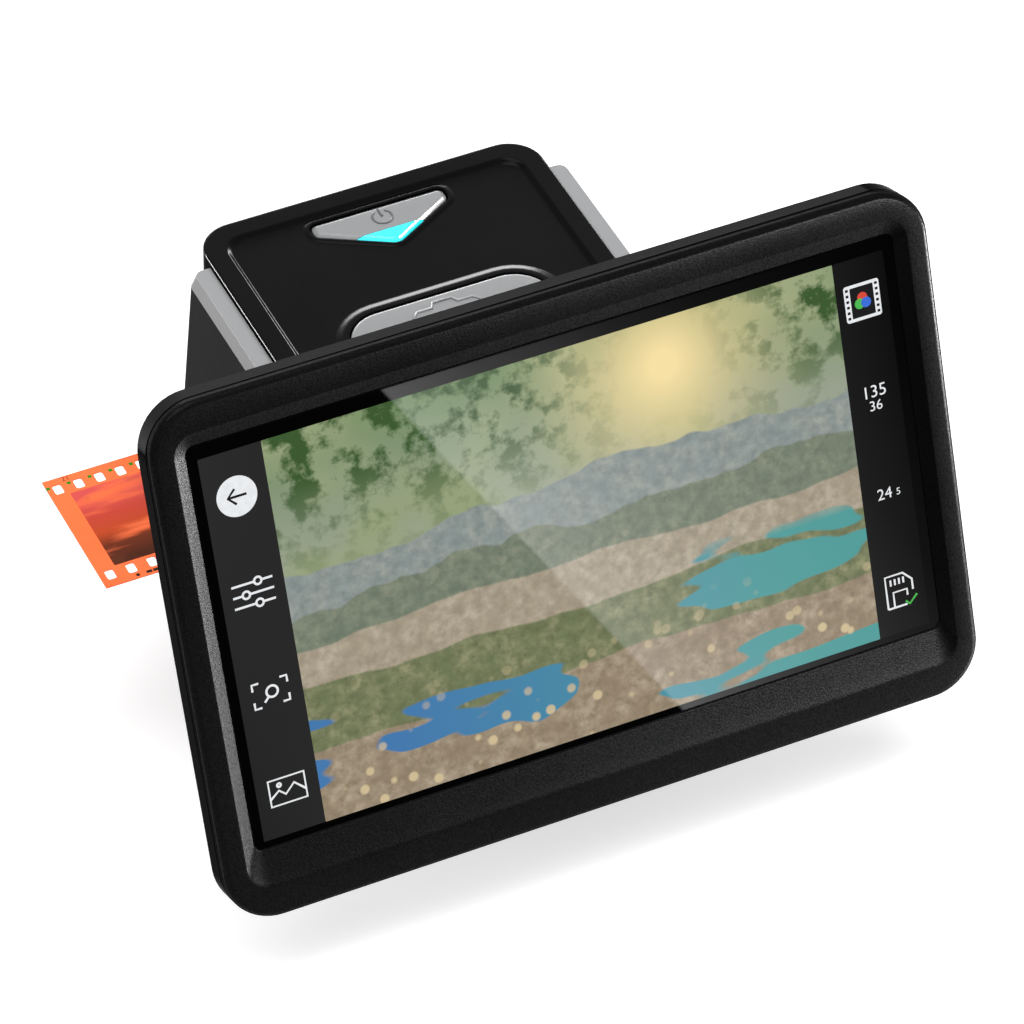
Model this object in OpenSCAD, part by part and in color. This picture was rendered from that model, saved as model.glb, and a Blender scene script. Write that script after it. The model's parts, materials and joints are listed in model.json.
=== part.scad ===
// Film negative scanner: a desk-top body with a film tunnel, a light box and a camera inside,
// two sprung buttons on top, and a touch display that tilts on a friction hinge in front.
// Units are millimetres. X runs to the right, Y to the back and Z up from the table.
// The origin lies on the table, below the middle of the film gate.

/* [Body] */
// Height of the top cover above the table
body_h = 90; // [88:0.5:98]
// Width of the top cover and of the core housing under it
cover_w = 79.2; // [78:0.2:90]
// Distance from the middle of the film gate to the front face
front_y = 43; // [42:0.5:50]
// Distance from the middle of the film gate to the back face
back_y = 41.1; // [40:0.1:48]
// Plan radius of the two back corners
corner_r = 8; // [6:0.5:14]
// Plan radius of the two front corners
front_corner_r = 4; // [3:0.5:6]
// Wall thickness of the housing and the top cover
wall = 2.2; // [1.6:0.1:2.6]
// Thickness of the base plate
base_t = 2.5; // [2:0.1:3.5]
// Height of a rubber foot
foot_h = 2.5; // [1.5:0.1:4]
// Radius of a rubber foot
foot_r = 6; // [4:0.5:6.5]

/* [Top cover] */
// Width of the raised rim round the recessed panel
rim_w = 4.4; // [3:0.2:6]
// Depth of the recessed panel below the rim
panel_drop = 0.9; // [0.4:0.1:1.2]
// Width of the soft step from the rim down to the panel
step_w = 1.4; // [0.6:0.1:2]
// Rounding of the cover's top edge
cover_edge_r = 0.6; // [0.4:0.1:2.4]
// Height of the soft collar round the capture button
collar_h = 0.5; // [0.2:0.1:0.6]
// Width of that collar
collar_w = 3.2; // [1.6:0.2:3.4]

/* [Side panels] */
// Width of a side panel at its top
cheek_top_w = 5; // [4.4:0.1:7]
// Width of a side panel at its foot
cheek_foot_w = 9.8; // [7:0.2:12]
// Distance from the middle of the film gate to the front of a side panel
cheek_front = 38; // [34:0.5:41]
// Distance from the middle of the film gate to the back of a side panel at its top
cheek_back = 31.5; // [29:0.5:34]
// Lean of a side panel's back end, from its top to its foot
cheek_flare = 1.5; // [0:0.1:3]
// Wall thickness of a side panel
cheek_wall = 2; // [1.4:0.1:2.4]
// Plan radius of a side panel's corners
cheek_r = 2.2; // [1:0.1:2.2]
// Height of the grey rail on a side panel
rail_h = 3; // [2:0.1:4]
// Height of the top cover above the rail
rail_drop = 1.5; // [1:0.1:2.5]
// Lean of the rail's outer face over its height
rail_lean = 1.1; // [0.4:0.1:1.6]

/* [Buttons] */
// Width of the power button along its back edge
power_w = 31; // [28:0.2:34]
// Depth of the power button from its back edge to its point
power_d = 11.8; // [11:0.2:14]
// Distance from the middle of the film gate to the power button's back edge
power_back = 33.6; // [32:0.1:34.5]
// Depth of the light lens in the power button's point
lens_d = 4.2; // [3.5:0.1:5]
// Height of the cover's rim above the power button
power_sink = 0.5; // [0:0.1:0.6]
// Width of the bevel round the power button
power_edge = 0.8; // [0.4:0.1:1]
// Width of the capture button
capture_w = 45.8; // [40:0.2:50]
// Depth of the capture button
capture_d = 22.2; // [18:0.2:24]
// Distance from the middle of the film gate to the capture button's back edge
capture_back = 2.5; // [2:0.1:5]
// Corner radius of the capture button
capture_r = 8.6; // [6:0.2:9]
// Travel of each button
press = 0.8; // [0.5:0.1:0.9]
// Gap between a button and the cover round it
button_gap = 0.35; // [0.2:0.05:0.5]

/* [Film] */
// Width of the film strip
film_w = 35; // [34:0.5:36]
// Length of the film strip
strip_len = 152; // [114:38:190]
// Thickness of the film strip
film_t = 0.2; // [0.15:0.05:0.25]
// Height of the film above the table
film_z = 55; // [53:0.5:57]
// Distance that the strip's left end stands out past the middle of the gate
strip_left = 84.8; // [76:0.1:100]
// Pitch of the sprocket holes
perf_pitch = 4.75; // [4.74:0.01:4.76]
// Width of a sprocket hole across the film
perf_w = 2.8; // [2.6:0.1:3]
// Length of a sprocket hole along the film
perf_l = 1.98; // [1.8:0.02:2.1]
// Distance from the film's edge to a sprocket hole
perf_edge = 2; // [1.8:0.1:2.2]
// Length of the picture gate along the film
gate_l = 36; // [34:0.5:37]
// Width of the picture gate across the film
gate_w = 24; // [22:0.5:24.5]

/* [Film holder] */
// Width of the film holder
holder_w = 42; // [40:0.5:44]
// Thickness of the film holder
holder_t = 6.4; // [5.6:0.1:7]
// Clearance round the film in the holder's channel
film_gap = 0.3; // [0.2:0.05:0.4]
// Clearance round the holder in the film tunnel
tunnel_gap = 0.4; // [0.3:0.05:0.6]
// Thickness of the holder's grip flange
grip_t = 4; // [3:0.2:5]
// Height of the grip flange
grip_h = 10; // [9:0.2:12]

/* [Light box] */
// Gap between the light box's LED board and the button board
light_gap = 2.2; // [1.6:0.1:4]
// Length of the light box
light_l = 50; // [46:0.5:54]
// Width of the light box
light_w = 36; // [32:0.5:40]
// Wall thickness of the light box
light_wall = 1.6; // [1.2:0.1:2]
// Thickness of the diffuser
diffuser_t = 2; // [1.5:0.1:3]
// Thickness of each film gate plate
gate_t = 2; // [1.6:0.1:2.4]

/* [Camera] */
// Radius of the lens barrel's thread
lens_r = 6; // [5:0.2:7]
// Radius of the lens barrel's head
lens_head_r = 8.5; // [8:0.2:10]
// Distance from the film to the front of the lens
lens_gap = 13; // [11:0.5:15]
// Length of the lens barrel's head
lens_head_l = 10.4; // [8:0.2:12]
// Side of the square sensor board
sensor_side = 32; // [30:0.5:34]
// Thickness of every circuit board
board_t = 1.2; // [1:0.1:1.6]

/* [Display] */
// Width of the display
display_w = 174.6; // [172:0.2:184]
// Height of the display above the middle of its picture
display_top = 56; // [55:0.2:60]
// Height of the display below the middle of its picture
display_low = 59.8; // [58:0.1:62]
// Corner radius of the display
display_r = 11.5; // [9:0.5:14]
// Thickness of the bezel in front of the parting line
bezel_t = 3.1; // [2.8:0.1:3.6]
// Depth of the rear cover behind the parting line
rear_t = 15; // [14:0.2:16]
// Depth of the rear cover's straight side wall
rear_side = 4.4; // [3.5:0.1:5]
// Inset of the rear cover's flat back from the side wall
rear_inset = 14; // [11:0.5:16]
// Corner radius of the rear cover's flat back
rear_r = 9; // [6:0.5:12]
// Wall thickness of the display's shells
shell_t = 2; // [1.6:0.1:2.4]
// Width of the flat frame beside the bevel
frame_side = 5.1; // [4:0.1:7]
// Height of the flat frame above the bevel
frame_top = 6.5; // [5:0.1:8]
// Height of the flat frame below the bevel
frame_low = 7.55; // [5:0.05:9]
// Width of the glass seen beside the picture
border_side = 2.4; // [1.5:0.1:3]
// Height of the glass seen above the picture
border_top = 3.45; // [2:0.05:4]
// Height of the glass seen below the picture
border_low = 1.5; // [1:0.1:2.5]
// Width of the bevel beside the glass
bevel_side = 2.7; // [1.5:0.1:3.5]
// Height of the bevel above the glass
bevel_top = 3.1; // [1.5:0.1:4]
// Height of the bevel below the glass
bevel_low = 7.8; // [5:0.1:8.5]
// Lip of the bezel over the edge of the glass
glass_lip = 1.5; // [1:0.1:2]
// Depth of the glass face below the bezel's front
glass_drop = 1.6; // [1.2:0.1:2]
// Thickness of the touch glass
glass_t = 1.1; // [0.7:0.1:1.2]

/* [Display hinge] */
// Tilt of the display behind upright, in degrees, as it stands
tilt = 21.6; // [10:0.2:35]
// Radius of the body's rolled front edge, which lies round the hinge axis
roll_r = 8; // [7.4:0.1:9]
// Gap between the display's back and the rolled edge
roll_gap = 1; // [0.8:0.1:1.6]
// Height of the hinge axis above the middle of the picture, along the display
hinge_up = 16.8; // [14:0.2:20]
// Radius of a hinge hub
hub_r = 7; // [6:0.1:7.2]
// Width of a hinge hub
hub_w = 12; // [10:0.2:14]
// Distance from the middle to the centre of each hub
hub_x = 24; // [22:0.5:26]
// Radius of a hinge pin
pin_r = 2; // [1.6:0.1:2.6]
// Radial running clearance of a hinge pin
pin_gap = 0.05; // [0.03:0.01:0.08]
// Thickness of a hinge ear
ear_t = 2; // [1.6:0.1:2.4]

/* [Ports] */
// Width of the memory card
card_w = 24; // [22:0.5:24.5]
// Length of the memory card
card_l = 32; // [30:0.5:33]
// Thickness of the memory card
card_t = 2.1; // [1.8:0.1:2.3]
// Length of the memory card that stands out of the back
card_out = 2.5; // [1.5:0.1:4]
// Width of the power socket's mouth
usb_w = 8.9; // [8.4:0.1:9.2]
// Height of the power socket's mouth
usb_h = 3.2; // [3:0.1:3.4]
// Width of the video socket
hdmi_w = 11.2; // [10.6:0.1:11.6]
// Height of the video socket
hdmi_h = 3.4; // [3.2:0.1:3.6]

/* [Hidden] */
$fn = 48;

// Overshoot of a cut past the face that it opens
eps = 0.5;
// Half widths and heights of the body
cw = cover_w / 2;
floor_z = foot_h + base_t;
hinge_y = -(front_y - roll_r);
hinge_z = body_h - roll_r;
panel_z = body_h - panel_drop;
under_z = panel_z - wall;
cheek_z = body_h - rail_drop - rail_h;

// Film tunnel
tunnel_w = holder_w + 2 * tunnel_gap;
tunnel_t = holder_t + 2 * tunnel_gap;
tunnel_low = film_z - tunnel_t / 2;
tunnel_high = film_z + tunnel_t / 2;
tunnel_skin = 1.5;

// Film gates: plates above and below the tunnel, on rails beside it
rail_w = 5;
plate_x = cw - wall - 1.2;
plate_y = tunnel_w / 2 + rail_w;
gate_low_z = tunnel_low - gate_t;
gate_high_z = tunnel_high + gate_t;
post_r = 3.2;
post_x = plate_x - post_r - 0.6;
post_y = plate_y - rail_w / 2;
rib_t = 2;
rib_foot = 12;
screw_r = 1.1;
screw_bite = 5;
head_r = 2;
head_t = 1.2;

// Boards
main_z = floor_z + 3;
port_z = main_z + board_t;
socket_skin = 0.5;
card_slack = 0.15;
card_y = back_y + card_out - card_l;
main_x = post_x - post_r - 0.8;
main_front = front_y - wall - 6;
main_back = back_y - wall - 0.6;
boss_x = main_x - 3.5;
boss_front = main_front - 3.5;
boss_back = card_y - 5;
boss_r = 2.6;

// Image sensor
sensor_w = 11;
sensor_l = 9;
sensor_t = 1.3;

// Optical column, hung from the lower gate down to just above the card socket
lens_top = film_z - lens_gap;
bench_t = 2;
bench_gap = 0.9;
pad_h = 1.5;
bench_z = port_z + card_t + 2 * (card_slack + socket_skin) + bench_gap;
sensor_z = bench_z + bench_t + pad_h;
lens_low = sensor_z + 5;
lens_l = lens_top - lens_low;
bench_side = sensor_side + 8;
column_xy = sensor_side / 2 + 1.2;
column_r = 2.6;

// Buttons and their board, from the top cover down
switch_h = 2.4;
switch_side = 6;
switch_cap_r = 1.7;
switch_cap_h = 0.8;
switch_gap = 0.05;
stem_l = 3.25;
stem_r = 2;
flange_t = 1.4;
flange_z = under_z - press - flange_t;
stem_z = flange_z - stem_l;
button_z = stem_z - press - switch_gap - switch_h - board_t;
button_board_x = capture_w / 2 + 6.4;
button_board_front = capture_back - capture_d + 2;
button_board_back = power_back + 1;
hook_x = button_board_x - 2.6;
hook_back = power_back - 2;
hook_front = button_board_front + 4;
hook_r = 2.2;
capture_y = capture_back - capture_d / 2;
cap_t = 2.2;
power_end = 1.15;
cap_flange = 1.1;
power_y = power_back - power_d * 0.34;

// The light box fills the room between the upper gate and the button board
light_top = button_z - light_gap - board_t;
light_h = light_top - gate_high_z;

// Display stack, along the display's own normal from the parting line
glass_face = bezel_t - glass_drop;
glass_back = glass_face - glass_t;
lcd_t = 2.4;
lcd_back = glass_back - lcd_t;
tray_t = 3;
tray_back = lcd_back - tray_t;
board_gap = head_t + 0.4;
board_back = tray_back - board_gap - board_t;
rear_in = -rear_t + shell_t;
pane_x = display_w / 2 - frame_side - bevel_side;
pane_top = display_top - frame_top - bevel_top;
pane_low = display_low - frame_low - bevel_low;
active_w = 2 * (pane_x - border_side);
active_h = pane_top + pane_low - border_top - border_low;
sheet_t = 0.2;
lcd_x = pane_x + 0.6;
lcd_top = pane_top + 0.3;
lcd_low = pane_low + 4;
hinge_n = -(rear_t + roll_gap + roll_r);
board_x = 42;
board_low = 30;
board_high = 14;
arm_slot_gap = 0.2;
foot_plate_t = 2;
foot_x = hub_w / 2 + 5;
foot_up = hub_r + 5;
corner_screw_in = 17;
corner_screw_x = display_w / 2 - corner_screw_in;
corner_screw_top = (display_top - shell_t + lcd_top) / 2;
corner_screw_low = (display_low - shell_t + lcd_low) / 2;
corner_boss_r = 2.4;
corner_boss_l = 4;

// Hinge stack along the axis
washer_t = 0.4;
side_gap = 0.1;
ear_in = hub_x - hub_w / 2 - side_gap - washer_t;
ear_out = hub_x + hub_w / 2 + side_gap + washer_t;
ear_r = 4;
pin_head_t = 1.6;
nut_t = 2.2;
notch_gap = 0.5;
shelf_z = hinge_z - hub_r - notch_gap - ear_t - 1.2;
shelf_t = 2.4;
hinge_screw_bite = 3.5;
shelf_back = -plate_y - 0.4;
notch_back = hinge_y + sqrt(pow(hub_r, 2) - pow(under_z - hinge_z, 2)) + notch_gap + 0.1;

// Vents in the base plate and in the rear cover
vent_w = 2;
base_vent_l = 28;
base_vent_pitch = 6;
rear_vent_l = 12;
rear_vent_pitch = 5;
rear_vent_low = 38;

// Chips on the boards: a square one, two beside it, and a connector
chip_side = 14;
chip_t = 1.4;
memory_w = 9;
memory_l = 11;
memory_x = chip_side / 2 + memory_w / 2 + 3.5;
chip_y = 9;
part_w = 2.6;
part_l = 3.6;
part_pitch = 4.4;
connector_w = 22;
connector_l = 4;
connector_h = 2;

// Ports on the main board, from the middle of the body
card_x = -15;
hdmi_x = 7.5;
usb_x = 21.5;
usb_l = 7.3;
hdmi_l = 7.5;
port_gap = 0.3;

// Colours
cover_black = [0.11, 0.11, 0.12];
panel_black = [0.18, 0.18, 0.19];
trim_grey = [0.62, 0.63, 0.64];
steel = [0.72, 0.73, 0.75];
board_green = [0.06, 0.32, 0.2];
chip_black = [0.07, 0.07, 0.08];
gold = [0.85, 0.68, 0.3];

// A plan outline, symmetric about x = 0, with front and back corner radii
module plan(x, front, back, rf, rb) {
  translate([-x + rf, -front]) square([2 * (x - rf), rf + eps]);
  translate([-x, -front + rf]) square([2 * x, front + back - rf - rb]);
  translate([-x + rb, back - rb - eps]) square([2 * (x - rb), rb + eps]);
  for (s = [-1, 1]) {
    translate([s * (x - rf), -front + rf]) circle(rf);
    translate([s * (x - rb), back - rb]) circle(rb);
  }
}

// The body's plan outline, drawn in by t
module body_plan(t = 0) {
  plan(cw - t, front_y - t, back_y - t, max(front_corner_r - t, 1), max(corner_r - t, 1));
}

// A rectangle with round corners, centred
module rounded(w, d, r) {
  square([w - 2 * r, d], center = true);
  square([w, d - 2 * r], center = true);
  for (sx = [-1, 1], sy = [-1, 1]) translate([sx * (w / 2 - r), sy * (d / 2 - r)]) circle(r);
}

// Both sides of the body
module both_sides() {
  children();
  mirror([1, 0, 0]) children();
}

// The four corners of a rectangle
module corners(x, y_front, y_back) {
  for (sx = [-1, 1], y = [-y_front, y_back]) translate([sx * x, y, 0]) children();
}

// A pan-head screw with its head's seat at z = 0 and its shank downwards
module screw(length) {
  translate([0, 0, -length]) cylinder(r = screw_r, h = length);
  cylinder(r = head_r, h = head_t);
}

// A cylinder along X from x0 to x1
module rod_x(r, x0, x1) {
  translate([x0, 0, 0]) rotate([0, 90, 0]) cylinder(r = r, h = x1 - x0);
}

// ---- Base ----

// Screws from below into the housing's posts
module post_places() {
  corners(post_x, post_y, post_y) children();
}

module base_plate() color(panel_black) difference() {
  union() {
    translate([0, 0, foot_h]) linear_extrude(base_t) {
      body_plan();
      both_sides() cheek_plan(cheek_foot_w, cheek_back + cheek_flare);
    }
    main_board_places() translate([0, 0, floor_z - 0.2])
      cylinder(r = boss_r, h = main_z - floor_z + 0.2);
  }
  post_places() translate([0, 0, foot_h - eps]) cylinder(r = screw_r, h = base_t + 2 * eps);
  post_places() translate([0, 0, foot_h - eps]) cylinder(r = head_r + 0.2, h = head_t + eps);
  main_board_places() translate([0, 0, main_z - 2.6]) cylinder(r = screw_r, h = 2.6 + eps);
  for (k = [-3:3]) translate([k * base_vent_pitch - vent_w / 2, -base_vent_l / 2, foot_h - eps])
    cube([vent_w, base_vent_l, base_t + 2 * eps]);
}

module rubber_feet() color([0.09, 0.09, 0.09])
  corners(cw - foot_r - 1, front_y - foot_r - 3, back_y - foot_r - 3)
    rotate_extrude() polygon([[0, 0], [foot_r - 0.6, 0], [foot_r, 0.6], [foot_r, foot_h], [0, foot_h]]);

module base_screws() color(steel) post_places()
  translate([0, 0, foot_h + head_t]) mirror([0, 0, 1]) screw(base_t - head_t + screw_bite);

// ---- Housing and top cover ----

module hinge_notch() {
  x0 = hub_x - hub_w / 2 - notch_gap;
  z0 = hinge_z - hub_r - notch_gap;
  both_sides() translate([x0, -front_y - eps, z0])
    cube([hub_w + 2 * notch_gap, front_y + eps + notch_back, body_h - z0 + eps]);
}

module housing_posts() {
  both_sides() for (y = [-post_y, post_y]) {
    translate([post_x, y, floor_z]) cylinder(r = post_r, h = gate_low_z - floor_z);
    translate([post_x, y - rib_t / 2, floor_z + rib_foot])
      cube([cw - wall / 2 - post_x, rib_t, gate_low_z - floor_z - rib_foot]);
  }
}

module hinge_shelf() {
  both_sides() translate([ear_in - ear_t - 1, -front_y + wall / 2, shelf_z - shelf_t])
    cube([ear_out - ear_in + 2 * ear_t + 2, front_y - wall / 2 + shelf_back, shelf_t]);
}

module port_cuts() {
  y0 = back_y - wall - eps;
  translate([card_x - card_w / 2 - port_gap, y0, port_z + socket_skin - port_gap])
    cube([card_w + 2 * port_gap, wall + 2 * eps, card_t + 2 * port_gap]);
  translate([hdmi_x - hdmi_w / 2 - port_gap, y0, port_z - port_gap])
    cube([hdmi_w + 2 * port_gap, wall + 2 * eps, hdmi_h + 2 * port_gap]);
  translate([usb_x, y0, port_z + usb_h / 2]) rotate([-90, 0, 0])
    linear_extrude(wall + 2 * eps)
      rounded(usb_w + 2 * port_gap, usb_h + 2 * port_gap, usb_h / 2 + port_gap - 0.01);
}

module main_housing() color(cover_black) difference() {
  union() {
    translate([0, 0, floor_z]) difference() {
      linear_extrude(hinge_z - floor_z) body_plan();
      translate([0, 0, -eps]) linear_extrude(hinge_z - floor_z + 2 * eps) body_plan(wall);
    }
    housing_posts();
    hinge_shelf();
  }
  hinge_notch();
  translate([-cw - eps, -tunnel_w / 2, tunnel_low]) cube([cover_w + 2 * eps, tunnel_w, tunnel_t]);
  post_places() translate([0, 0, gate_low_z - screw_bite - 1])
    cylinder(r = screw_r, h = screw_bite + 1 + eps);
  post_places() translate([0, 0, floor_z - eps]) cylinder(r = screw_r, h = screw_bite + 0.2 + eps);
  hinge_screw_places() translate([0, 0, -hinge_screw_bite - eps])
    cylinder(r = screw_r, h = hinge_screw_bite + 2 * eps);
  port_cuts();
}

module cover_block() hull() {
  translate([0, 0, hinge_z]) linear_extrude(roll_r - cover_edge_r) body_plan();
  translate([0, 0, hinge_z]) linear_extrude(roll_r - cover_edge_r * 0.3) body_plan(cover_edge_r * 0.3);
  translate([0, 0, hinge_z]) linear_extrude(roll_r) body_plan(cover_edge_r);
}

module rolled(r) {
  translate([-cw - eps, hinge_y, hinge_z - eps]) cube([cover_w + 2 * eps, back_y - hinge_y + eps, body_h]);
  translate([0, hinge_y, hinge_z]) rod_x(r, -cw - eps, cw + eps);
}

// The recessed panel, with a soft step round it
module panel_recess() hull() {
  translate([0, 0, panel_z]) linear_extrude(panel_drop + eps) panel_plan(rim_w + step_w);
  translate([0, 0, body_h]) linear_extrude(eps) panel_plan(rim_w);
}

module panel_plan(t) {
  plan(cw - t, front_y - roll_r - 1 - t / 2, back_y - t, 2, max(corner_r - t, 2));
}

// The power button's outline: a wide triangle with its point to the front and round ends
module power_plan(grow = 0) {
  r = 1.5;
  end_x = power_w / 2 - r;
  end_y = power_back - r;
  offset(r = r + grow) polygon([
    [-end_x, end_y], [end_x, end_y], [end_x, end_y - power_end],
    [0.3, power_back - power_d + r], [-0.3, power_back - power_d + r], [-end_x, end_y - power_end]]);
}

module capture_plan(grow = 0) {
  translate([0, capture_y]) rounded(capture_w + 2 * grow, capture_d + 2 * grow, capture_r + grow);
}

// Posts under the cover that carry the button board
module board_hooks(r, z0, z1) {
  both_sides() for (y = [hook_front, hook_back]) translate([hook_x, y, z0]) cylinder(r = r, h = z1 - z0);
}

module top_cover() color(cover_black) difference() {
  union() {
    difference() {
      intersection() {
        cover_block();
        rolled(roll_r);
      }
      intersection() {
        translate([0, 0, hinge_z - eps]) linear_extrude(under_z - hinge_z + eps) body_plan(wall);
        rolled(roll_r - wall);
      }
      panel_recess();
    }
    hull() {
      translate([0, 0, panel_z - 0.4]) linear_extrude(0.4) capture_plan(button_gap + collar_w);
      translate([0, 0, panel_z]) linear_extrude(collar_h) capture_plan(button_gap + collar_w * 0.35);
    }
    hull() {
      translate([0, 0, panel_z - 0.4]) linear_extrude(0.4) power_plan(button_gap + collar_w * 0.5);
      translate([0, 0, panel_z]) linear_extrude(collar_h / 2) power_plan(button_gap + collar_w * 0.2);
    }
    board_hooks(hook_r, button_z + board_t, under_z + wall / 2);
  }
  translate([0, 0, under_z - eps]) linear_extrude(wall + 2) power_plan(button_gap);
  translate([0, 0, under_z - eps]) linear_extrude(wall + 2) capture_plan(button_gap);
  board_hooks(screw_r, button_z - eps, button_z + board_t + 4);
  hinge_notch();
}

// ---- Side panels ----

// The plan of a right-hand side panel of width w, drawn in by t on its outer sides
module cheek_plan(w, back, t = 0) {
  r = max(min(cheek_r, w / 2) - t, 0.4);
  translate([cw, -cheek_front + t]) square([w - t - r, cheek_front + back - 2 * t]);
  translate([cw, -cheek_front + t + r]) square([w - t, cheek_front + back - 2 * t - 2 * r]);
  for (y = [-cheek_front + t + r, back - t - r]) translate([cw + w - t - r, y]) circle(r, $fn = 32);
}

module cheek_form(t, z_top) hull() {
  translate([0, 0, floor_z - (t > 0 ? eps : 0)]) linear_extrude(0.1)
    cheek_plan(cheek_foot_w, cheek_back + cheek_flare, t);
  translate([0, 0, z_top - 0.1]) linear_extrude(0.1) cheek_plan(cheek_top_w, cheek_back, t);
}

// Width of the side panel at the film's height
cheek_mid_w = cheek_foot_w + (cheek_top_w - cheek_foot_w) * (film_z - floor_z) / (cheek_z - floor_z);

module side_panel() difference() {
  union() {
    difference() {
      cheek_form(0, cheek_z);
      cheek_form(cheek_wall, cheek_z - cheek_wall);
    }
    intersection() {
      cheek_form(0, cheek_z);
      translate([cw, -tunnel_w / 2 - tunnel_skin, tunnel_low - tunnel_skin])
        cube([cheek_foot_w, tunnel_w + 2 * tunnel_skin, tunnel_t + 2 * tunnel_skin]);
    }
  }
  translate([cw - eps, -tunnel_w / 2, tunnel_low]) cube([cheek_foot_w + 2 * eps, tunnel_w, tunnel_t]);
}

module trim_rail() hull() {
  translate([0, 0, cheek_z]) linear_extrude(0.1) cheek_plan(cheek_top_w, cheek_back);
  translate([0, 0, cheek_z + rail_h - 0.1]) linear_extrude(0.1)
    cheek_plan(cheek_top_w - rail_lean, cheek_back - rail_lean / 2);
}

module right_side_panel() color(panel_black) side_panel();
module left_side_panel() color(panel_black) mirror([1, 0, 0]) side_panel();
module right_trim_rail() color(trim_grey) trim_rail();
module left_trim_rail() color(trim_grey) mirror([1, 0, 0]) trim_rail();

// ---- Display hinge, body side ----

module hinge_screw_places() {
  both_sides() for (x = [hub_x - 3, hub_x + 3]) translate([x, shelf_back - 3.4, shelf_z]) children();
}

module hinge_ear(x) {
  translate([x, hinge_y - ear_r, shelf_z]) cube([ear_t, 2 * ear_r, hinge_z - shelf_z]);
  translate([0, hinge_y, hinge_z]) rod_x(ear_r, x, x + ear_t);
}

module hinge_bracket() difference() {
  union() {
    translate([ear_in - ear_t, hinge_y - ear_r, shelf_z])
      cube([ear_out - ear_in + 2 * ear_t, shelf_back - hinge_y + ear_r - 0.5, ear_t]);
    hinge_ear(ear_in - ear_t);
    hinge_ear(ear_out);
  }
  translate([0, hinge_y, hinge_z]) rod_x(pin_r + pin_gap, ear_in - ear_t - eps, ear_out + ear_t + eps);
  for (x = [hub_x - 3, hub_x + 3]) translate([x, shelf_back - 3.4, shelf_z - eps])
    cylinder(r = screw_r, h = ear_t + 2 * eps);
}

module right_hinge_bracket() color(steel) hinge_bracket();
module left_hinge_bracket() color(steel) mirror([1, 0, 0]) hinge_bracket();

module hinge_screws() color(steel) hinge_screw_places()
  translate([0, 0, ear_t]) screw(ear_t + hinge_screw_bite);

module hinge_pins() color(steel) both_sides() translate([0, hinge_y, hinge_z]) {
  rod_x(pin_r, ear_in - ear_t, ear_out + ear_t + nut_t + 0.6);
  rod_x(pin_r + 1.2, ear_in - ear_t - pin_head_t, ear_in - ear_t);
}

module hinge_washers() color(steel) both_sides() translate([0, hinge_y, hinge_z])
  for (x = [ear_in, ear_out - washer_t]) difference() {
    rod_x(ear_r, x, x + washer_t);
    rod_x(pin_r + pin_gap, x - eps, x + washer_t + eps);
  }

module hinge_nuts() color(steel) both_sides() translate([0, hinge_y, hinge_z]) difference() {
  translate([ear_out + ear_t, 0, 0]) rotate([0, 90, 0]) cylinder(r = pin_r + 1.9, h = nut_t, $fn = 6);
  rod_x(pin_r + 0.02, ear_out + ear_t - eps, ear_out + ear_t + nut_t + eps);
}

// ---- Buttons ----

module button_board() color(board_green) difference() {
  translate([-button_board_x, button_board_front, button_z])
    cube([2 * button_board_x, button_board_back - button_board_front, board_t]);
  board_hooks(screw_r, button_z - eps, button_z + board_t + eps);
}

// Places of the switches under the two buttons
module switch_places() {
  for (y = [capture_y, power_y]) translate([0, y, button_z + board_t]) children();
}

module tact_switches() color(chip_black) switch_places() {
  translate([-switch_side / 2, -switch_side / 2, 0])
    cube([switch_side, switch_side, switch_h - switch_cap_h]);
  translate([0, 0, switch_h - switch_cap_h]) cylinder(r = switch_cap_r, h = switch_cap_h);
}

module status_led() color([0.9, 0.95, 0.95])
  translate([-1.6, power_back - power_d + 1.2, button_z + board_t]) cube([3.2, 1.6, 0.9]);

module power_button() color(trim_grey) difference() {
  union() {
    power_cap(0);
    translate([0, 0, flange_z]) linear_extrude(flange_t) power_plan(cap_flange);
    translate([0, 0, under_z - press - 0.1]) linear_extrude(body_h - cap_t - under_z + press + 0.2)
      power_plan(-1.2);
    translate([0, power_y, stem_z]) cylinder(r = stem_r, h = stem_l + flange_t / 2);
  }
  lens_cut(0);
}

module power_cap(gap) translate([0, 0, body_h - cap_t]) hull() {
  linear_extrude(cap_t - power_sink - power_edge) power_plan(-gap);
  linear_extrude(cap_t - power_sink) power_plan(-gap - power_edge);
}

// The place of the light lens: the front point of the power button
module lens_cut(gap) translate([-power_w / 2, power_back - power_d - eps, body_h - cap_t])
  cube([power_w, lens_d + eps - gap, cap_t + eps]);

module power_lens() color([0.25, 0.92, 0.94]) intersection() {
  power_cap(0.15);
  lens_cut(0.15);
}

module capture_button() color(trim_grey) {
  hull() {
    translate([0, 0, body_h - cap_t]) linear_extrude(cap_t - 0.9) capture_plan();
    translate([0, 0, body_h - cap_t]) linear_extrude(cap_t - 0.1) capture_plan(-1.6);
  }
  translate([0, 0, under_z - press - 0.1]) linear_extrude(body_h - cap_t - under_z + press + 0.2)
    capture_plan(-1.2);
  translate([0, 0, flange_z]) linear_extrude(flange_t) capture_plan(cap_flange);
  translate([0, capture_y, stem_z]) cylinder(r = stem_r, h = stem_l + flange_t / 2);
}

// ---- Film path ----

module film_gate_lower() color(panel_black) difference() {
  union() {
    translate([-plate_x, -plate_y, gate_low_z]) cube([2 * plate_x, 2 * plate_y, gate_t]);
    for (y = [-plate_y, tunnel_w / 2]) translate([-plate_x, y, gate_low_z])
      cube([2 * plate_x, rail_w, gate_t + tunnel_t]);
  }
  translate([-gate_l / 2 - 2, -gate_w / 2 - 2, gate_low_z - eps])
    cube([gate_l + 4, gate_w + 4, gate_t + 2 * eps]);
  post_places() translate([0, 0, gate_low_z - eps])
    cylinder(r = screw_r, h = gate_t + tunnel_t + 2 * eps);
}

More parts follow.
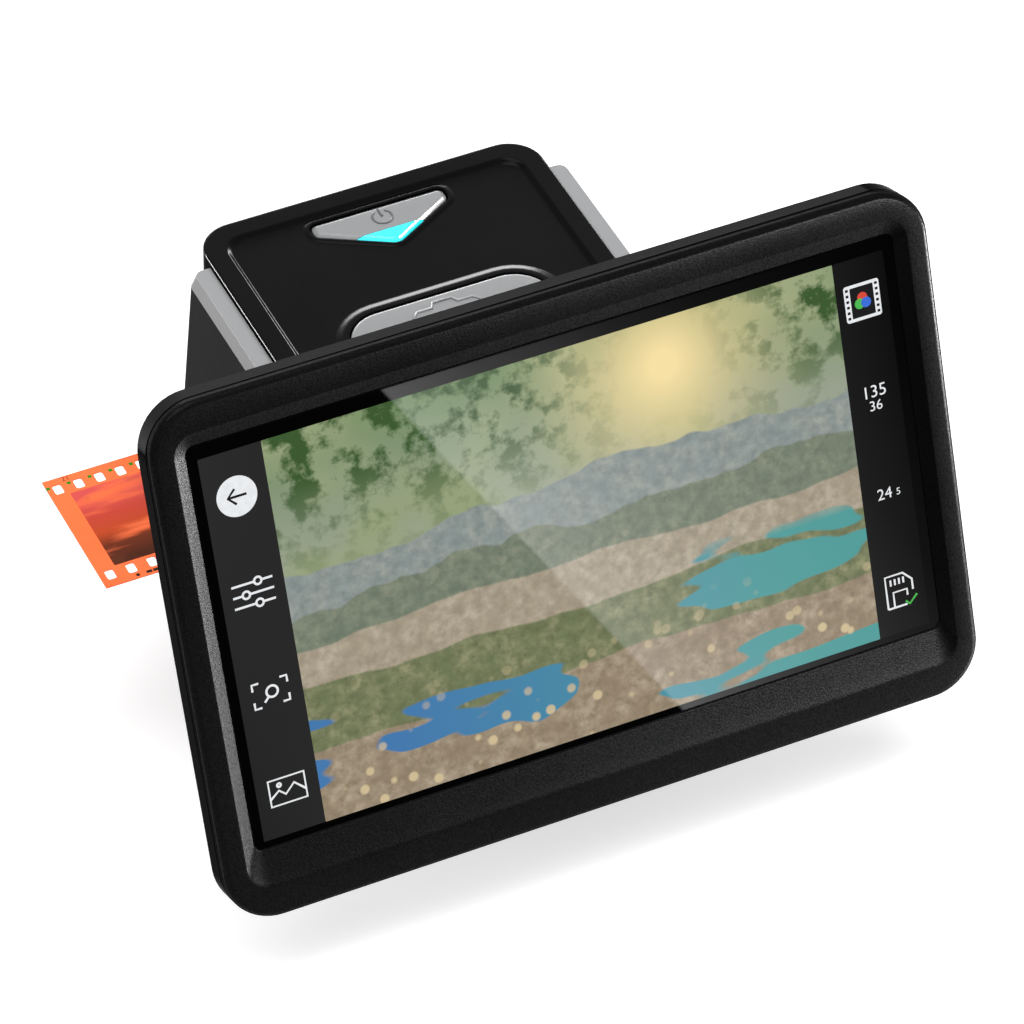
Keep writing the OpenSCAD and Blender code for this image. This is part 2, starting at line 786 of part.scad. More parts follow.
module film_gate_upper() color(panel_black) difference() {
  translate([-plate_x, -plate_y, tunnel_high]) cube([2 * plate_x, 2 * plate_y, gate_t]);
  translate([-gate_l / 2, -gate_w / 2, tunnel_high - eps]) cube([gate_l, gate_w, gate_t + 2 * eps]);
  post_places() translate([0, 0, tunnel_high - eps]) cylinder(r = screw_r, h = gate_t + 2 * eps);
}

module gate_screws() color(steel) post_places()
  translate([0, 0, gate_high_z]) screw(2 * gate_t + tunnel_t + screw_bite);

// Half length of the holder in the tunnel, and the grip flange's inner face
holder_x = cw + cheek_mid_w;
grip_x = holder_x + 0.8;

module holder_plate(z0, h) difference() {
  translate([-grip_x, -holder_w / 2, z0]) cube([grip_x + holder_x, holder_w, h]);
  translate([-gate_l / 2, -gate_w / 2, z0 - eps]) cube([gate_l, gate_w, h + 2 * eps]);
}

// The holder's lower half, with the film channel and the lower half of the grip
module film_holder_base() color([0.13, 0.13, 0.14]) difference() {
  union() {
    holder_plate(film_z - holder_t / 2, holder_t / 2);
    translate([-grip_x - grip_t, -holder_w / 2 - 1.5, film_z - grip_h / 2])
      cube([grip_t, holder_w + 3, grip_h / 2]);
  }
  translate([-grip_x - grip_t - eps, -film_w / 2 - film_gap, film_z - film_t / 2 - film_gap])
    cube([grip_x + holder_x + grip_t + 2 * eps, film_w + 2 * film_gap, film_t + film_gap + 1]);
}

module film_holder_cover() color([0.13, 0.13, 0.14]) difference() {
  union() {
    holder_plate(film_z, holder_t / 2);
    translate([-grip_x - grip_t, -holder_w / 2 - 1.5, film_z]) cube([grip_t, holder_w + 3, grip_h / 2]);
  }
  translate([-grip_x - grip_t - eps, -film_w / 2 - film_gap, film_z - 1])
    cube([grip_x + holder_x + grip_t + 2 * eps, film_w + 2 * film_gap, 1 + film_t / 2 + film_gap]);
}

module film_strip() color([1, 0.47, 0.27]) translate([-strip_left, 0, film_z - film_t / 2])
  linear_extrude(film_t) difference() {
    translate([0, -film_w / 2]) square([strip_len, film_w]);
    for (k = [0 : floor(strip_len / perf_pitch) - 1], s = [-1, 1])
      translate([(k + 0.5) * perf_pitch, s * (film_w / 2 - perf_edge - perf_w / 2)])
        square([perf_l, perf_w], center = true);
  }

// ---- Light box ----

module light_box() color([0.93, 0.93, 0.92]) difference() {
  translate([-light_l / 2, -light_w / 2, gate_high_z]) cube([light_l, light_w, light_h]);
  translate([-light_l / 2 + light_wall, -light_w / 2 + light_wall, gate_high_z - eps])
    cube([light_l - 2 * light_wall, light_w - 2 * light_wall, light_h + 2 * eps]);
}

module light_diffuser() color([0.95, 0.96, 0.96, 0.8])
  translate([-light_l / 2 + light_wall + 0.1, -light_w / 2 + light_wall + 0.1, gate_high_z])
    cube([light_l - 2 * light_wall - 0.2, light_w - 2 * light_wall - 0.2, diffuser_t]);

module led_board() color([0.9, 0.9, 0.88])
  translate([-light_l / 2, -light_w / 2, light_top]) cube([light_l, light_w, board_t]);

module backlight_leds() color([0.98, 0.93, 0.7])
  for (kx = [-1.5:1.5], ky = [-1:1])
    translate([kx * light_l / 5 - 1.75, ky * light_w / 4.5 - 1.4, light_top - 0.9]) cube([3.5, 2.8, 0.9]);

// ---- Camera ----

module camera_bracket() color(panel_black) difference() {
  union() {
    translate([-bench_side / 2, -bench_side / 2, bench_z]) cube([bench_side, bench_side, bench_t]);
    for (sx = [-1, 1], sy = [-1, 1]) {
      translate([sx * column_xy, sy * column_xy, bench_z]) cylinder(r = column_r, h = gate_low_z - bench_z);
      translate([sx * (sensor_side / 2 - 5), sy * (sensor_side / 2 - 5), bench_z])
        cylinder(r = 2.4, h = bench_t + pad_h);
    }
  }
  for (sx = [-1, 1], sy = [-1, 1])
    translate([sx * (sensor_side / 2 - 5), sy * (sensor_side / 2 - 5), bench_z - eps])
      cylinder(r = screw_r, h = bench_t + pad_h + 2 * eps);
}

module sensor_board() color(board_green) difference() {
  translate([0, 0, sensor_z]) linear_extrude(board_t) square(sensor_side, center = true);
  for (sx = [-1, 1], sy = [-1, 1]) {
    translate([sx * (sensor_side / 2 - 5), sy * (sensor_side / 2 - 5), sensor_z - eps])
      cylinder(r = screw_r, h = board_t + 2 * eps);
    translate([sx * column_xy, sy * column_xy, sensor_z - eps])
      cylinder(r = column_r + 0.2, h = board_t + 2 * eps);
  }
}

module image_sensor() color(chip_black) translate([0, 0, sensor_z + board_t])
  chip(0, 0, sensor_w, sensor_l, sensor_t);

// The lens mount holds the barrel over the sensor, up to its head
mount_h = lens_top - lens_head_l - 0.4 - sensor_z - board_t;
mount_w = 18;
mount_d = 15;
mount_t = 4;

module lens_mount() color(chip_black) translate([0, 0, sensor_z + board_t]) difference() {
  union() {
    translate([-mount_w / 2, -mount_d / 2, 0]) cube([mount_w, mount_d, mount_t]);
    cylinder(r = lens_r + 1.6, h = mount_h);
  }
  translate([-mount_w / 3, -mount_d / 3, -eps]) cube([mount_w / 1.5, mount_d / 1.5, mount_t - 1.4 + eps]);
  translate([0, 0, -eps]) cylinder(r = lens_r, h = mount_h + 2 * eps);
}

module lens_barrel() color([0.2, 0.2, 0.21]) difference() {
  union() {
    translate([0, 0, lens_low]) cylinder(r = lens_r, h = lens_l);
    translate([0, 0, lens_top - lens_head_l]) cylinder(r = lens_head_r, h = lens_head_l);
  }
  translate([0, 0, lens_low - eps]) cylinder(r = lens_r - 1.4, h = lens_l + 2 * eps);
}

module lens_elements() color([0.7, 0.8, 0.9, 0.5])
  for (z = [lens_top - 2.6, lens_low + lens_l / 2, lens_low + 2])
    translate([0, 0, z]) cylinder(r = lens_r - 1.42, h = 1.8);

// ---- Main board and ports ----

module main_board_places() {
  corners(boss_x, boss_front, boss_back) children();
}

module main_board() color(board_green) difference() {
  translate([-main_x, -main_front, main_z]) cube([2 * main_x, main_front + main_back, board_t]);
  main_board_places() translate([0, 0, main_z - eps]) cylinder(r = screw_r, h = board_t + 2 * eps);
}

// A flat part on a board, centred on its place
module chip(x, y, w, l, h) translate([x - w / 2, y - l / 2, 0]) cube([w, l, h]);

module chip_set() {
  chip(0, -chip_y, chip_side, chip_side, chip_t);
  for (s = [-1, 1]) chip(s * memory_x, -chip_y, memory_w, memory_l, chip_t);
}

module board_chips() color(chip_black) translate([0, 0, port_z]) {
  chip_set();
  for (k = [-1:1]) chip(memory_x + k * part_pitch, chip_y / 2, part_w, part_l, chip_t);
  chip(0, -2.9 * chip_y, connector_w, connector_l, connector_h);
}

module board_screws() color(steel) {
  main_board_places() translate([0, 0, port_z]) screw(board_t + 2.4);
  for (sx = [-1, 1], sy = [-1, 1])
    translate([sx * (sensor_side / 2 - 5), sy * (sensor_side / 2 - 5), sensor_z + board_t])
      screw(board_t + pad_h + 1.6);
  both_sides() for (y = [hook_front, hook_back]) translate([hook_x, y, button_z])
    mirror([0, 0, 1]) screw(board_t + 3.6);
}

module usb_socket() color(steel) translate([usb_x, back_y - 0.3, port_z + usb_h / 2])
  rotate([90, 0, 0]) {
    difference() {
      linear_extrude(usb_l) rounded(usb_w, usb_h, usb_h / 2 - 0.01);
      translate([0, 0, -eps]) linear_extrude(usb_l - 0.6 + eps)
        rounded(usb_w - 0.6, usb_h - 0.6, usb_h / 2 - 0.31);
    }
    translate([-3.3, -0.35, 1]) cube([6.6, 0.7, usb_l - 1.3]);
  }

module hdmi_socket() color(steel) translate([hdmi_x, back_y - 0.3, port_z]) rotate([90, 0, 0]) {
  difference() {
    linear_extrude(hdmi_l) polygon([[-hdmi_w / 2 + 1, 0], [hdmi_w / 2 - 1, 0], [hdmi_w / 2, 1],
      [hdmi_w / 2, hdmi_h], [-hdmi_w / 2, hdmi_h], [-hdmi_w / 2, 1]]);
    translate([0, 0, -eps]) linear_extrude(hdmi_l - 0.6 + eps) polygon([[-hdmi_w / 2 + 1.2, 0.35],
      [hdmi_w / 2 - 1.2, 0.35], [hdmi_w / 2 - 0.4, 1.15], [hdmi_w / 2 - 0.4, hdmi_h - 0.35],
      [-hdmi_w / 2 + 0.4, hdmi_h - 0.35], [-hdmi_w / 2 + 0.4, 1.15]]);
  }
  translate([-3.8, 1.3, 1]) cube([7.6, 0.7, hdmi_l - 1.3]);
}

module card_socket() color(steel) difference() {
  translate([card_x - card_w / 2 - card_slack - socket_skin, card_y - 1.6, port_z])
    cube([card_w + 2 * (card_slack + socket_skin), back_y - wall - 0.1 - card_y + 1.6,
      card_t + 2 * (card_slack + socket_skin)]);
  translate([card_x - card_w / 2 - card_slack, card_y - card_slack, port_z + socket_skin])
    cube([card_w + 2 * card_slack, back_y - card_y, card_t + 2 * card_slack]);
}

module memory_card() color([0.12, 0.16, 0.3]) translate([card_x, card_y, port_z + socket_skin + card_slack])
  linear_extrude(card_t) polygon([[-card_w / 2, 0], [card_w / 2 - 4, 0], [card_w / 2, 4],
    [card_w / 2, card_l], [-card_w / 2, card_l]]);

// ---- Display ----

// Children in the display's own frame: x along its width, y up its height, z out of its face,
// with z = 0 at the parting line and the origin behind the middle of the picture
module on_display() {
  translate([0, hinge_y, hinge_z]) rotate([-tilt, 0, 0]) translate([0, hinge_n, -hinge_up])
    rotate([90, 0, 0]) children();
}

// A solid of the display: a plan extruded from depth n0 to n1
module slab(n0, n1) {
  translate([0, 0, n0]) linear_extrude(n1 - n0) children();
}

module display_plan(t = 0, r = display_r) {
  translate([0, (display_top - display_low) / 2])
    rounded(display_w - 2 * t, display_top + display_low - 2 * t, max(r - t, 1));
}

// The seen glass, grown by different amounts at its sides, top and foot
module pane_plan(side = 0, top = 0, low = 0, r = 2) {
  translate([0, (pane_top + top - pane_low - low) / 2])
    rounded(2 * (pane_x + side), pane_top + top + pane_low + low, r);
}

module corner_screw_places() {
  for (sx = [-1, 1], y = [-corner_screw_low, corner_screw_top])
    translate([sx * corner_screw_x, y, 0]) children();
}

module display_bezel() color(cover_black) on_display() difference() {
  union() {
    hull() {
      slab(0, bezel_t - 1.2) display_plan();
      slab(0, bezel_t - 0.4) display_plan(0.4);
      slab(0, bezel_t) display_plan(1.2);
    }
    corner_screw_places() translate([0, 0, -corner_boss_l])
      cylinder(r = corner_boss_r, h = corner_boss_l + 1);
  }
  hull() {
    slab(glass_face + 0.3, glass_face + 0.31) pane_plan();
    slab(bezel_t, bezel_t + eps) pane_plan(bevel_side, bevel_top, bevel_low, 5);
  }
  slab(-eps, bezel_t + eps) pane_plan();
  slab(-eps, glass_face) pane_plan(glass_lip + 0.2, glass_lip + 0.2, glass_lip + 0.2, 3);
  slab(-eps, glass_back) lcd_plan(-0.3);
  corner_screw_places() translate([0, 0, -corner_boss_l - eps])
    cylinder(r = screw_r, h = corner_boss_l + eps + 0.6);
}

module touch_glass() color([0.02, 0.02, 0.03]) on_display()
  slab(glass_back, glass_face) pane_plan(glass_lip, glass_lip, glass_lip, 2.8);

module lcd_plan(t = 0) translate([-lcd_x + t, -lcd_low + t])
  square([2 * (lcd_x - t), lcd_low + lcd_top - 2 * t]);

// The panel, with its front sheet over the picture
module lcd_panel() color([0.25, 0.3, 0.34]) on_display() {
  slab(lcd_back, glass_back - sheet_t) lcd_plan();
  slab(lcd_back, glass_back) translate([-active_w / 2, -pane_low + border_low]) square([active_w, active_h]);
}

module backlight_tray() color(steel) on_display() difference() {
  slab(tray_back, lcd_back) lcd_plan();
  for (k = [-1, 1]) translate([k * lcd_x / 2, 0, tray_back - eps])
    linear_extrude(0.6 + eps) rounded(lcd_x * 0.7, lcd_low, 4);
}

module display_board_places() {
  for (sx = [-1, 1], y = [-board_low + 4, board_high - 4]) translate([sx * (board_x - 4), y, 0]) children();
}

module display_board() color(board_green) on_display() difference() {
  translate([-board_x, -board_low, board_back]) cube([2 * board_x, board_low + board_high, board_t]);
  display_board_places() translate([0, 0, board_back - eps]) cylinder(r = screw_r, h = board_t + 2 * eps);
}

module display_chips() color(chip_black) on_display() {
  translate([0, 0, board_back - chip_t]) chip_set();
  translate([0, 0, board_back - connector_h])
    chip(0, board_high - connector_l - 2, connector_w, connector_l, connector_h);
}

module display_board_screws() color(steel) on_display() display_board_places()
  translate([0, 0, board_back + board_t]) screw(board_t + 3.4);

// The rear cover's outer form, or its hollow for t > 0
module rear_form(t) hull() {
  slab(-rear_side, t > 0 ? eps : 0) display_plan(t);
  slab(-rear_t + t, -rear_t + t + 0.01) display_plan(rear_inset + t * 0.4, rear_r + rear_inset);
}

module arm_places() {
  for (sx = [-1, 1]) translate([sx * hub_x, hinge_up, 0]) children();
}

module arm_screw_places() {
  arm_places() for (sx = [-1, 1], y = [-foot_up + 2.8, foot_up - 2.8])
    translate([sx * (foot_x - 2.6), y, 0]) children();
}

module rear_cover() color(cover_black) on_display() difference() {
  union() {
    difference() {
      rear_form(0);
      rear_form(shell_t);
    }
    intersection() {
      rear_form(0);
      corner_screw_places() translate([0, 0, -rear_t])
        cylinder(r = head_r + 1.4, h = rear_t - corner_boss_l);
    }
    display_board_places() translate([0, 0, rear_in - 0.2]) cylinder(r = 2.6, h = board_back - rear_in + 0.2);
  }
  corner_screw_places() {
    translate([0, 0, -rear_t - eps]) cylinder(r = head_r + 0.2, h = rear_t + eps - corner_boss_l - 2);
    translate([0, 0, -rear_t]) cylinder(r = screw_r + 0.1, h = rear_t);
  }
  display_board_places() translate([0, 0, board_back - 4]) cylinder(r = screw_r, h = 4 + eps);
  arm_places() translate([-hub_w / 2 - arm_slot_gap, -hub_r - arm_slot_gap, -rear_t - eps])
    cube([hub_w + 2 * arm_slot_gap, 2 * (hub_r + arm_slot_gap), shell_t + 2 * eps]);
  arm_screw_places() translate([0, 0, rear_in - shell_t + 0.6]) cylinder(r = screw_r, h = shell_t);
  for (k = [-6:6]) translate([k * rear_vent_pitch - vent_w / 2, -rear_vent_low, -rear_t - eps])
    cube([vent_w, rear_vent_l, shell_t + 2 * eps]);
}

module rear_cover_screws() color(steel) on_display() corner_screw_places()
  translate([0, 0, -corner_boss_l - 2]) mirror([0, 0, 1]) screw(corner_boss_l + 1.4);

module hinge_arm() difference() {
  union() {
    translate([0, hinge_up, hinge_n]) rod_x(hub_r, hub_x - hub_w / 2, hub_x + hub_w / 2);
    translate([hub_x - hub_w / 2, hinge_up - hub_r, hinge_n])
      cube([hub_w, 2 * hub_r, rear_in + foot_plate_t - hinge_n]);
    translate([hub_x - foot_x, hinge_up - foot_up, rear_in]) cube([2 * foot_x, 2 * foot_up, foot_plate_t]);
  }
  translate([0, hinge_up, hinge_n]) rod_x(pin_r + pin_gap, hub_x - hub_w / 2 - eps, hub_x + hub_w / 2 + eps);
  translate([hub_x, hinge_up, 0]) for (sx = [-1, 1], y = [-foot_up + 2.8, foot_up - 2.8])
    translate([sx * (foot_x - 2.6), y, rear_in - eps]) cylinder(r = screw_r, h = foot_plate_t + 2 * eps);
}

module right_hinge_arm() color(cover_black) on_display() hinge_arm();
module left_hinge_arm() color(cover_black) on_display() mirror([1, 0, 0]) hinge_arm();

module arm_screws() color(steel) on_display() arm_screw_places()
  translate([0, 0, rear_in + foot_plate_t]) screw(foot_plate_t + shell_t - 0.6);

base_plate();
rubber_feet();
base_screws();
main_housing();
top_cover();
left_side_panel();
right_side_panel();
left_trim_rail();
right_trim_rail();
left_hinge_bracket();
right_hinge_bracket();
hinge_screws();
hinge_pins();
hinge_washers();
hinge_nuts();
button_board();
tact_switches();
status_led();
light_box();
led_board();
backlight_leds();
light_diffuser();
film_gate_upper();
film_gate_lower();
gate_screws();
camera_bracket();
sensor_board();
image_sensor();
lens_mount();
lens_barrel();
lens_elements();
main_board();
board_chips();
board_screws();
usb_socket();
hdmi_socket();
card_socket();
display_bezel();
touch_glass();
lcd_panel();
backlight_tray();
display_board();
display_chips();
display_board_screws();
rear_cover();
rear_cover_screws();
left_hinge_arm();
right_hinge_arm();
arm_screws();
power_button();
power_lens();
capture_button();
film_holder_base();
film_holder_cover();
film_strip();
memory_card();
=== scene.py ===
"""Film negative scanner: a black desk-top body with a tilting touch display in front of it."""

import json
import math

import bmesh
import bpy
from bpy.props import FloatProperty, FloatVectorProperty, PointerProperty
from mathutils import Euler, Matrix, Vector

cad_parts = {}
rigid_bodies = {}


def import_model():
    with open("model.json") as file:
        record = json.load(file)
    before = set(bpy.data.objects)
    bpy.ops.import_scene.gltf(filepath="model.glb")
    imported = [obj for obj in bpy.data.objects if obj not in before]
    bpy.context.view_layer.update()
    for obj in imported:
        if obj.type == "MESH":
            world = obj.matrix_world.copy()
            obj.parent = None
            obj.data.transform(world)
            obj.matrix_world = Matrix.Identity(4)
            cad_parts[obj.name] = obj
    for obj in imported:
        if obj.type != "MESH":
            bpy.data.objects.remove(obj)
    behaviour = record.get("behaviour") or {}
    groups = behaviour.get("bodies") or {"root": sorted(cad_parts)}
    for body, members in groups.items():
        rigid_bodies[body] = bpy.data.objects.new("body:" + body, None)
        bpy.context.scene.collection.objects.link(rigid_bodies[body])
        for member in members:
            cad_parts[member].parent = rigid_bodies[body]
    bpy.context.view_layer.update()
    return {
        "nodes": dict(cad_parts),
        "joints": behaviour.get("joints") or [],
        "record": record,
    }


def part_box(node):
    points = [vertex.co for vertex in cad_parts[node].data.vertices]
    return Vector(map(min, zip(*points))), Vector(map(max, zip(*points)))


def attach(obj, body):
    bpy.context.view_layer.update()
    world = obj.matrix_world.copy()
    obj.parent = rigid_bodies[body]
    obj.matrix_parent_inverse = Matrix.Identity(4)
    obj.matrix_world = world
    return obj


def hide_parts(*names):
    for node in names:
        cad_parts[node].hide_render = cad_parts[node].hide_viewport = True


bl_info = {
    "name": "Film Negative Scanner",
    "version": (1, 0, 0),
    "blender": (4, 5, 0),
    "location": "View3D > Sidebar > Scanner",
    "description": "Builds the finished pieces, materials, camera and studio of a film negative scanner",
    "category": "Object",
}

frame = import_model()
MM = 0.001

COVER_LOW, COVER_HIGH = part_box("top_cover")
TILT_JOINT = next(j for j in frame["joints"] if j["name"] == "display_tilt")
# The cover's front is rolled round the hinge axis.
_, ROLL_Y, ROLL_Z = TILT_JOINT["pos_m"]


# ---- Sizes and colours that a user would change ----


def length(name, description, default):
    return FloatProperty(name=name, description=description, default=default, unit="LENGTH",
                         subtype="DISTANCE", precision=5)


def mm(name, description, default):
    return length(name, description, default * MM)


def angle(name, description, degrees):
    return FloatProperty(name=name, description=description, default=math.radians(degrees),
                         unit="ROTATION", subtype="ANGLE")


class ScannerStage(bpy.types.PropertyGroup):
    """Camera, floor and lights."""

    azimuth: angle("Azimuth", "Turn of the camera to the left of the front", 26.6895)
    elevation: angle("Elevation", "Height of the camera above the level", 43.6914)
    roll: angle("Roll", "Turn of the camera about its own axis", 1.632)
    distance: length("Distance", "Distance from the camera to the point it aims at", 1.3231)
    aim: FloatVectorProperty(name="Aim", description="Point that the camera aims at",
                             default=(-0.009375, -0.054287, 0.079347), subtype="TRANSLATION")
    lens: FloatProperty(name="Lens", description="Focal length in mm on a 36 mm sensor", default=226.3)
    floor_size: length("Floor size", "Side of the square floor", 12.0)


class ScannerCover(bpy.types.PropertyGroup):
    """Sizes of the top cover."""

    rim_width: mm("Rim width", "Width of the raised rim round the recessed panel", 4.4)
    panel_drop: mm("Panel drop", "Depth of the recessed panel below the rim", 0.9)
    step_width: mm("Step width", "Width of the soft step from the rim to the panel", 1.4)
    recess_corner: mm("Recess corner", "Plan radius of the recess's two back corners", 5)
    edge_radius: mm("Edge radius", "Rounding of the cover's top edge", 0.6)
    roll_radius: mm("Roll radius", "Radius of the rolled front edge", 8)
    front_corner: mm("Front corner", "Plan radius of the two front corners", 4)
    back_corner: mm("Back corner", "Plan radius of the two back corners", 8)
    wall: mm("Wall", "Wall thickness of the cover", 2.2)
    collar_width: mm("Collar width", "Width of the soft collar round the capture button", 3.2)
    collar_height: mm("Collar height", "Height of the collar round the capture button", 0.5)
    post_side: mm("Post side", "Distance of the board posts from the middle", 27.6)
    post_front: mm("Post front", "Place of the front board posts", -13.8)
    post_back: mm("Post back", "Place of the back board posts", 31.6)
    post_radius: mm("Post radius", "Radius of the board posts", 2.2)


class ScannerButtons(bpy.types.PropertyGroup):
    """Sizes of the two buttons on the cover."""

    power_width: mm("Power width", "Width of the power button along its back edge", 31)
    power_depth: mm("Power depth", "Depth of the power button from back edge to point", 11.8)
    power_back: mm("Power back", "Place of the power button's back edge", 33.6)
    power_corner: mm("Power corner", "Corner radius of the power button", 1.5)
    power_end: mm("Power end", "Straight part of the power button's two ends", 1.15)
    power_sink: mm("Power sink", "Depth of the power button's top below the rim", 0.5)
    power_edge: mm("Power edge", "Width of the bevel round the power button", 0.8)
    lens_depth: mm("Lens depth", "Depth of the light lens in the button's point", 4.2)
    capture_width: mm("Capture width", "Width of the capture button", 45.8)
    capture_depth: mm("Capture depth", "Depth of the capture button", 22.2)
    capture_back: mm("Capture back", "Place of the capture button's back edge", 2.5)
    capture_radius: mm("Capture radius", "Corner radius of the capture button", 8.6)
    gap: mm("Gap", "Gap between a button and the cover round it", 0.35)
    cap_height: mm("Cap height", "Height of a button's cap", 2.2)
    relief: mm("Relief", "Height of the raised signs on the buttons", 0.34)


class ScannerDisplay(bpy.types.PropertyGroup):
    """Sizes of the display, seen from its front."""

    width: mm("Width", "Width of the display", 174.6)
    top: mm("Top", "Height of the display above the middle of its picture", 56)
    low: mm("Low", "Height of the display below the middle of its picture", 59.8)
    corner: mm("Corner", "Corner radius of the display", 11.5)
    bezel_depth: mm("Bezel depth", "Thickness of the bezel before the parting line", 3.1)
    glass_depth: mm("Glass depth", "Height of the glass face above the parting line", 1.5)
    frame_side: mm("Frame side", "Width of the flat frame beside the bevel", 5.1)
    frame_top: mm("Frame top", "Height of the flat frame above the bevel", 6.5)
    frame_low: mm("Frame low", "Height of the flat frame below the bevel", 7.55)
    bevel_side: mm("Bevel side", "Width of the bevel beside the glass", 2.7)
    bevel_top: mm("Bevel top", "Height of the bevel above the glass", 3.1)
    bevel_low: mm("Bevel low", "Height of the bevel below the glass", 7.8)
    glass_lip: mm("Glass lip", "Lip of the bezel over the edge of the glass", 1.5)
    boss_side: mm("Boss side", "Distance of the screw bosses from the middle", 70.3)
    boss_top: mm("Boss top", "Height of the upper screw bosses", 50.35)
    boss_low: mm("Boss low", "Height of the lower screw bosses below the middle", 53.125)
    hinge_depth: mm("Hinge depth", "Depth of the hinge axis behind the parting line", 24)
    hinge_up: mm("Hinge height", "Height of the hinge axis above the middle of the picture", 16.8)
    tilt: angle("Tilt", "Tilt of the display behind upright", 21.6)


class ScannerScreen(bpy.types.PropertyGroup):
    """Places on the lit screen."""

    border_side: mm("Border side", "Width of the black glass beside the picture", 2.4)
    border_top: mm("Border top", "Height of the black glass above the picture", 3.45)
    border_low: mm("Border low", "Height of the black glass below the picture", 1.5)
    left_bar: mm("Left bar", "Width of the menu bar on the left", 13.8)
    right_bar: mm("Right bar", "Width of the status bar on the right", 11.85)
    stroke: mm("Stroke", "Width of the lines of the signs", 0.5)
    glow: FloatProperty(name="Glow", description="Brightness of the lit screen", default=1.0, min=0)


class ScannerFilm(bpy.types.PropertyGroup):
    """Sizes of the film strip."""

    pitch: mm("Hole pitch", "Pitch of the sprocket holes", 4.75)
    hole_length: mm("Hole length", "Length of a sprocket hole along the film", 1.98)
    hole_width: mm("Hole width", "Width of a sprocket hole across the film", 2.8)
    hole_radius: mm("Hole radius", "Corner radius of a sprocket hole", 0.5)
    hole_edge: mm("Hole edge", "Distance from the film's edge to a sprocket hole", 2)
    frame_start: mm("Frame start", "Distance from the strip's left end to its first picture", 4.2)


# ---- Materials ----


class Nodes:
    """A short way to write a material's nodes."""

    def __init__(self, material):
        self.made = material.node_tree.nodes
        self.link = material.node_tree.links.new

    def feed(self, socket, value):
        """Link a value that another node gives, or set a plain one."""
        if isinstance(value, bpy.types.NodeSocket):
            self.link(value, socket)
        elif socket.type == "RGBA":
            socket.default_value = (*value, 1)
        else:
            socket.default_value = value

    def new(self, kind, inputs=None, **settings):
        node = self.made.new(kind)
        for name, value in settings.items():
            setattr(node, name, value)
        for name, value in (inputs or {}).items():
            self.feed(node.inputs[name], value)
        return node

    def shader(self, **inputs):
        """Feed the inputs of the material's own shader."""
        for name, value in inputs.items():
            self.feed(self.made["Principled BSDF"].inputs[name.replace("_", " ")], value)

    def show(self, shader):
        """Make this shader the whole look of the material."""
        self.made.remove(self.made["Principled BSDF"])
        self.link(shader.outputs[0], self.made["Material Output"].inputs["Surface"])

    def coords(self, scale=(1, 1, 1), location=(0, 0, 0), rotation=(0, 0, 0)):
        place = self.new("ShaderNodeTexCoord").outputs["Object"]
        return self.new("ShaderNodeMapping", {"Vector": place, "Scale": scale, "Location": location,
                                              "Rotation": rotation}).outputs["Vector"]

    def noise(self, vector, scale, detail=3.0, roughness=0.55):
        node = self.new("ShaderNodeTexNoise", {"Vector": vector, "Scale": scale, "Detail": detail,
                                               "Roughness": roughness})
        return node.outputs["Fac"]

    def ramp(self, factor, stops, interpolation="LINEAR"):
        node = self.new("ShaderNodeValToRGB", {"Fac": factor})
        ramp = node.color_ramp
        ramp.interpolation = interpolation
        while len(ramp.elements) < len(stops):
            ramp.elements.new(0.5)
        for element, (position, value) in zip(ramp.elements, stops):
            element.position = position
            element.color = (*value, 1) if hasattr(value, "__len__") else (value, value, value, 1)
        return node.outputs["Color"]

    def span(self, value, low, high, to_low=0.0, to_high=1.0):
        return self.new("ShaderNodeMapRange", {"Value": value, "From Min": low, "From Max": high,
                                               "To Min": to_low, "To Max": to_high}).outputs["Result"]

    def spread(self, noise, to_low=0.0, to_high=1.0):
        """Stretch the range that holds most of a noise's values."""
        return self.span(noise, 0.3, 0.7, to_low, to_high)

    def math(self, operation, a, b=0.0):
        return self.new("ShaderNodeMath", {0: a, 1: b}, operation=operation).outputs[0]

    def times(self, a, b):
        return self.math("MULTIPLY", a, b)

    def mix(self, factor, a, b, blend="MIX"):
        node = self.new("ShaderNodeMix", data_type="RGBA", blend_type=blend)
        sockets = {socket.identifier: socket for socket in (*node.inputs, *node.outputs)}
        for name, value in (("Factor_Float", factor), ("A_Color", a), ("B_Color", b)):
            self.feed(sockets[name], value)
        return sockets["Result_Color"]

    def separate(self, vector):
        return self.new("ShaderNodeSeparateXYZ", {"Vector": vector}).outputs

    def seen(self):
        """1 where the camera sees a thing, also in a mirror or through glass; 0 for the light it gives."""
        ray = self.new("ShaderNodeLightPath").outputs
        mirrored = self.math("MAXIMUM", ray["Is Glossy Ray"], ray["Is Transmission Ray"])
        return self.math("MAXIMUM", ray["Is Camera Ray"], mirrored)


MATERIALS = {}
GLASS_GLOSS = 0.012


def new_material(name):
    material = bpy.data.materials.new(name)
    material.use_nodes = True
    MATERIALS[name] = material
    return Nodes(material)


def shade(tint, factor):
    return tuple(channel * factor for channel in tint)


